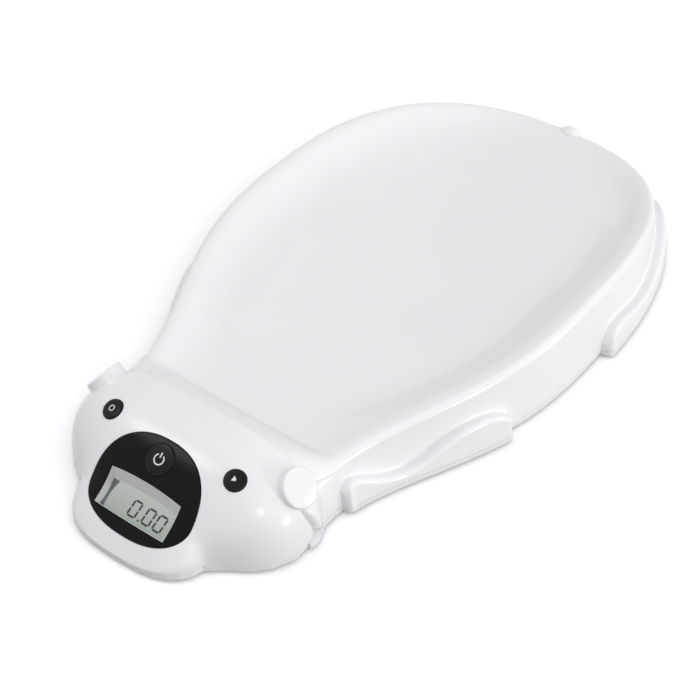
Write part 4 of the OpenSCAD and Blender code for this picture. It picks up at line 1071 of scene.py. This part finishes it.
main_nub = BOARD_DEEP - SWITCH_H + key_n - KEY_SKIRT - KEY_TRAVEL - NUB_AIR
for name, body, diameter, skirt, nub, placement, count in (
    ("power_key", "main_key", MAIN_KEY_D, KEY_SKIRT, main_nub, on_main_key, 96),
    ("round_key_right", "right_key", SIDE_KEY_D, SIDE_SKIRT, SIDE_NUB, on_right_key, 80),
    ("round_key_left", "left_key", SIDE_KEY_D, SIDE_SKIRT, SIDE_NUB, on_left_key, 80),
):
    key = lathe(name, key_profile(diameter, skirt, nub), placement, key_black,
                body=body, count=count)
    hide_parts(body)
coat(key_black, "main_key", "right_key", "left_key")

# White pad-printing ink: matt, and a little thin where fingers wear it
print_white = ink_and_painted_shade("white_pad_print", "#D9DBDC", "#F0F1F1", 0.55, 0.45)
PRINT_SUNK, PRINT_T, RING_N = -0.05, 0.04, 40


def sign(name, strips, place, diameter, body):
    """Thin raised print on a key: each strip is a list of pairs of edge points."""
    points, faces = [], []
    for strip in strips:
        start, n = len(points), len(strip)
        for level in (PRINT_SUNK, PRINT_T):
            for pair in strip:
                for a, b in pair:
                    points.append(place(a, b, dome_height(math.hypot(a, b), diameter) + level))
        up = 2 * n
        for a in range(start, start + up - 2, 2):
            faces += [(a, a + 1, a + 3, a + 2), (a + up, a + up + 2, a + up + 3, a + up + 1),
                      (a, a + 2, a + up + 2, a + up), (a + 1, a + up + 1, a + up + 3, a + 3)]
        for a in (start, start + up - 2):
            faces.append((a, a + 1, a + 1 + up, a + up))
    new_piece(name, points, faces, print_white, body=body)


def ring_strip(r0, r1, a0, a1):
    """Part of a flat ring between two radii and two angles in degrees."""
    turns = np.radians(np.linspace(a0, a1, RING_N))
    return [((r0 * math.cos(a), r0 * math.sin(a)), (r1 * math.cos(a), r1 * math.sin(a)))
            for a in turns]


power_bar = [((-0.5, 1.2 + v), (0.5, 1.2 + v)) for v in (0, 1.3, 2.6, 3.9)]
triangle = [((-1.8 + 0.9 * k, -2.1 + 0.525 * k), (-1.8 + 0.9 * k, 2.1 - 0.525 * k))
            for k in range(4)]
power_ring = ring_strip(3.3, 4.3, 125, 415)
sign("power_sign", [power_ring, power_bar], on_main_key, MAIN_KEY_D, "main_key")
sign("ring_sign", [ring_strip(1.7, 2.4, 0, 358)], on_left_key, SIDE_KEY_D, "left_key")
sign("triangle_sign", [triangle], on_right_key, SIDE_KEY_D, "right_key")

# ---- Base shell and battery door ----
# Shallow tub and a small lid from the same white ABS and the same kind of
# mould as the shell. Screws from below hold the tub to the shell, and two
# tabs and a snap tongue hold the door.
coat(white_abs, "base_shell", "battery_door")

# ---- Feet and load cells ----
# In each corner a rubber pad on an ABS foot presses the tongue of a steel
# load cell, which sits in an ABS holder. Screws fix the holder to the base.
def speckled(name, low, high, mm, roughness, strength, metallic=0.0):
    """Finish with two close tones and a shallow bump, both in one noise whose
    features are this many millimetres wide."""
    material, tree, out = new_material(name)
    place = node(tree, "ShaderNodeTexCoord").outputs["Object"]
    noise = node(tree, "ShaderNodeTexNoise", links={"Vector": place}, Scale=pitch(mm), Detail=3.0)
    tone = node(tree, "ShaderNodeMix", data_type="RGBA", links={0: noise.outputs[0]})
    tone.inputs[6].default_value = linear(low)
    tone.inputs[7].default_value = linear(high)
    dent = node(tree, "ShaderNodeBump", links={"Height": noise.outputs[0]},
                Strength=strength, Distance=0.0001)
    shader = node(tree, "ShaderNodeBsdfPrincipled",
                  links={"Base Color": tone.outputs[2], "Normal": dent.outputs[0]},
                  Roughness=roughness, Metallic=metallic)
    tree.links.new(shader.outputs[0], out.inputs[0])
    return material


# Natural rubber: matt black with a dusty bloom
rubber = speckled("moulded_black_rubber", "#26282A", "#303235", 0.55, 0.75, 0.4)
coat(rubber, "foot_pad_fl", "foot_pad_fr", "foot_pad_rl", "foot_pad_rr")
# ABS off an unpolished mould: off-white and half dull
holder_white = speckled("moulded_white_abs", "#DADDE0", "#E2E4E7", 1.4, 0.4, 0.08)
coat(holder_white, "cell_holder_fl", "cell_holder_fr", "cell_holder_rl", "cell_holder_rr",
     "foot_fl", "foot_fr", "foot_rl", "foot_rr")
# Nickel-plated steel: bright, with the faint cloudiness of barrel plating
steel = speckled("nickel_plated_steel", "#A9ACB0", "#BCBFC2", 1.7, 0.32, 0.1, metallic=1.0)
coat(steel, "load_cell_fl", "load_cell_fr", "load_cell_rl", "load_cell_rr",
     "holder_screws", "case_screws")

# ---- Boards and beeper ----
# The main board under the display, a small one under each side key, their
# parts and screws, the strip between glass and board, and a beeper.

# Epoxy board under solder mask: deep green and half glossy over the copper
solder_mask = speckled("green_solder_mask", "#1E5A36", "#256642", 1.1, 0.35, 0.08)
coat(solder_mask, "main_board", "key_boards")
# Moulded epoxy of chips and sockets: charcoal, dull and faintly gritty
chip_black = speckled("moulded_black_epoxy", "#17181A", "#202225", 0.65, 0.55, 0.2)
coat(chip_black, "board_parts", "speaker")
# Layered silicone rubber of the strip connector: dull pink
connector_pink = speckled("layered_pink_silicone", "#C9808C", "#D58E99", 0.7, 0.7, 0.2)
coat(connector_pink, "lcd_connector")
coat(steel, "board_screws", "key_board_screws")

# ---- Batteries ----
# Four cells in a bay of the base, with plated contact plates at one end and
# coil springs at the other.

# Shrunk PVC sleeve: plain blue, smooth, with the stretch marks of shrinking
sleeve_blue = speckled("shrunk_blue_pvc", "#2F5D84", "#366A94", 2.0, 0.3, 0.03)
coat(sleeve_blue, "battery_cells")
coat(steel, "battery_springs", "battery_contacts")

# ---- Flat cables ----
# Ribbons of stranded wire in grey PVC, from the load cells and the key boards
# to sockets on the main board.

# Extruded grey PVC: half dull, with a tone that varies along the ribbon
ribbon_grey = speckled("extruded_grey_pvc", "#5E6166", "#6B6F74", 0.9, 0.55, 0.15)
coat(ribbon_grey, "sensor_cables", "key_cables")
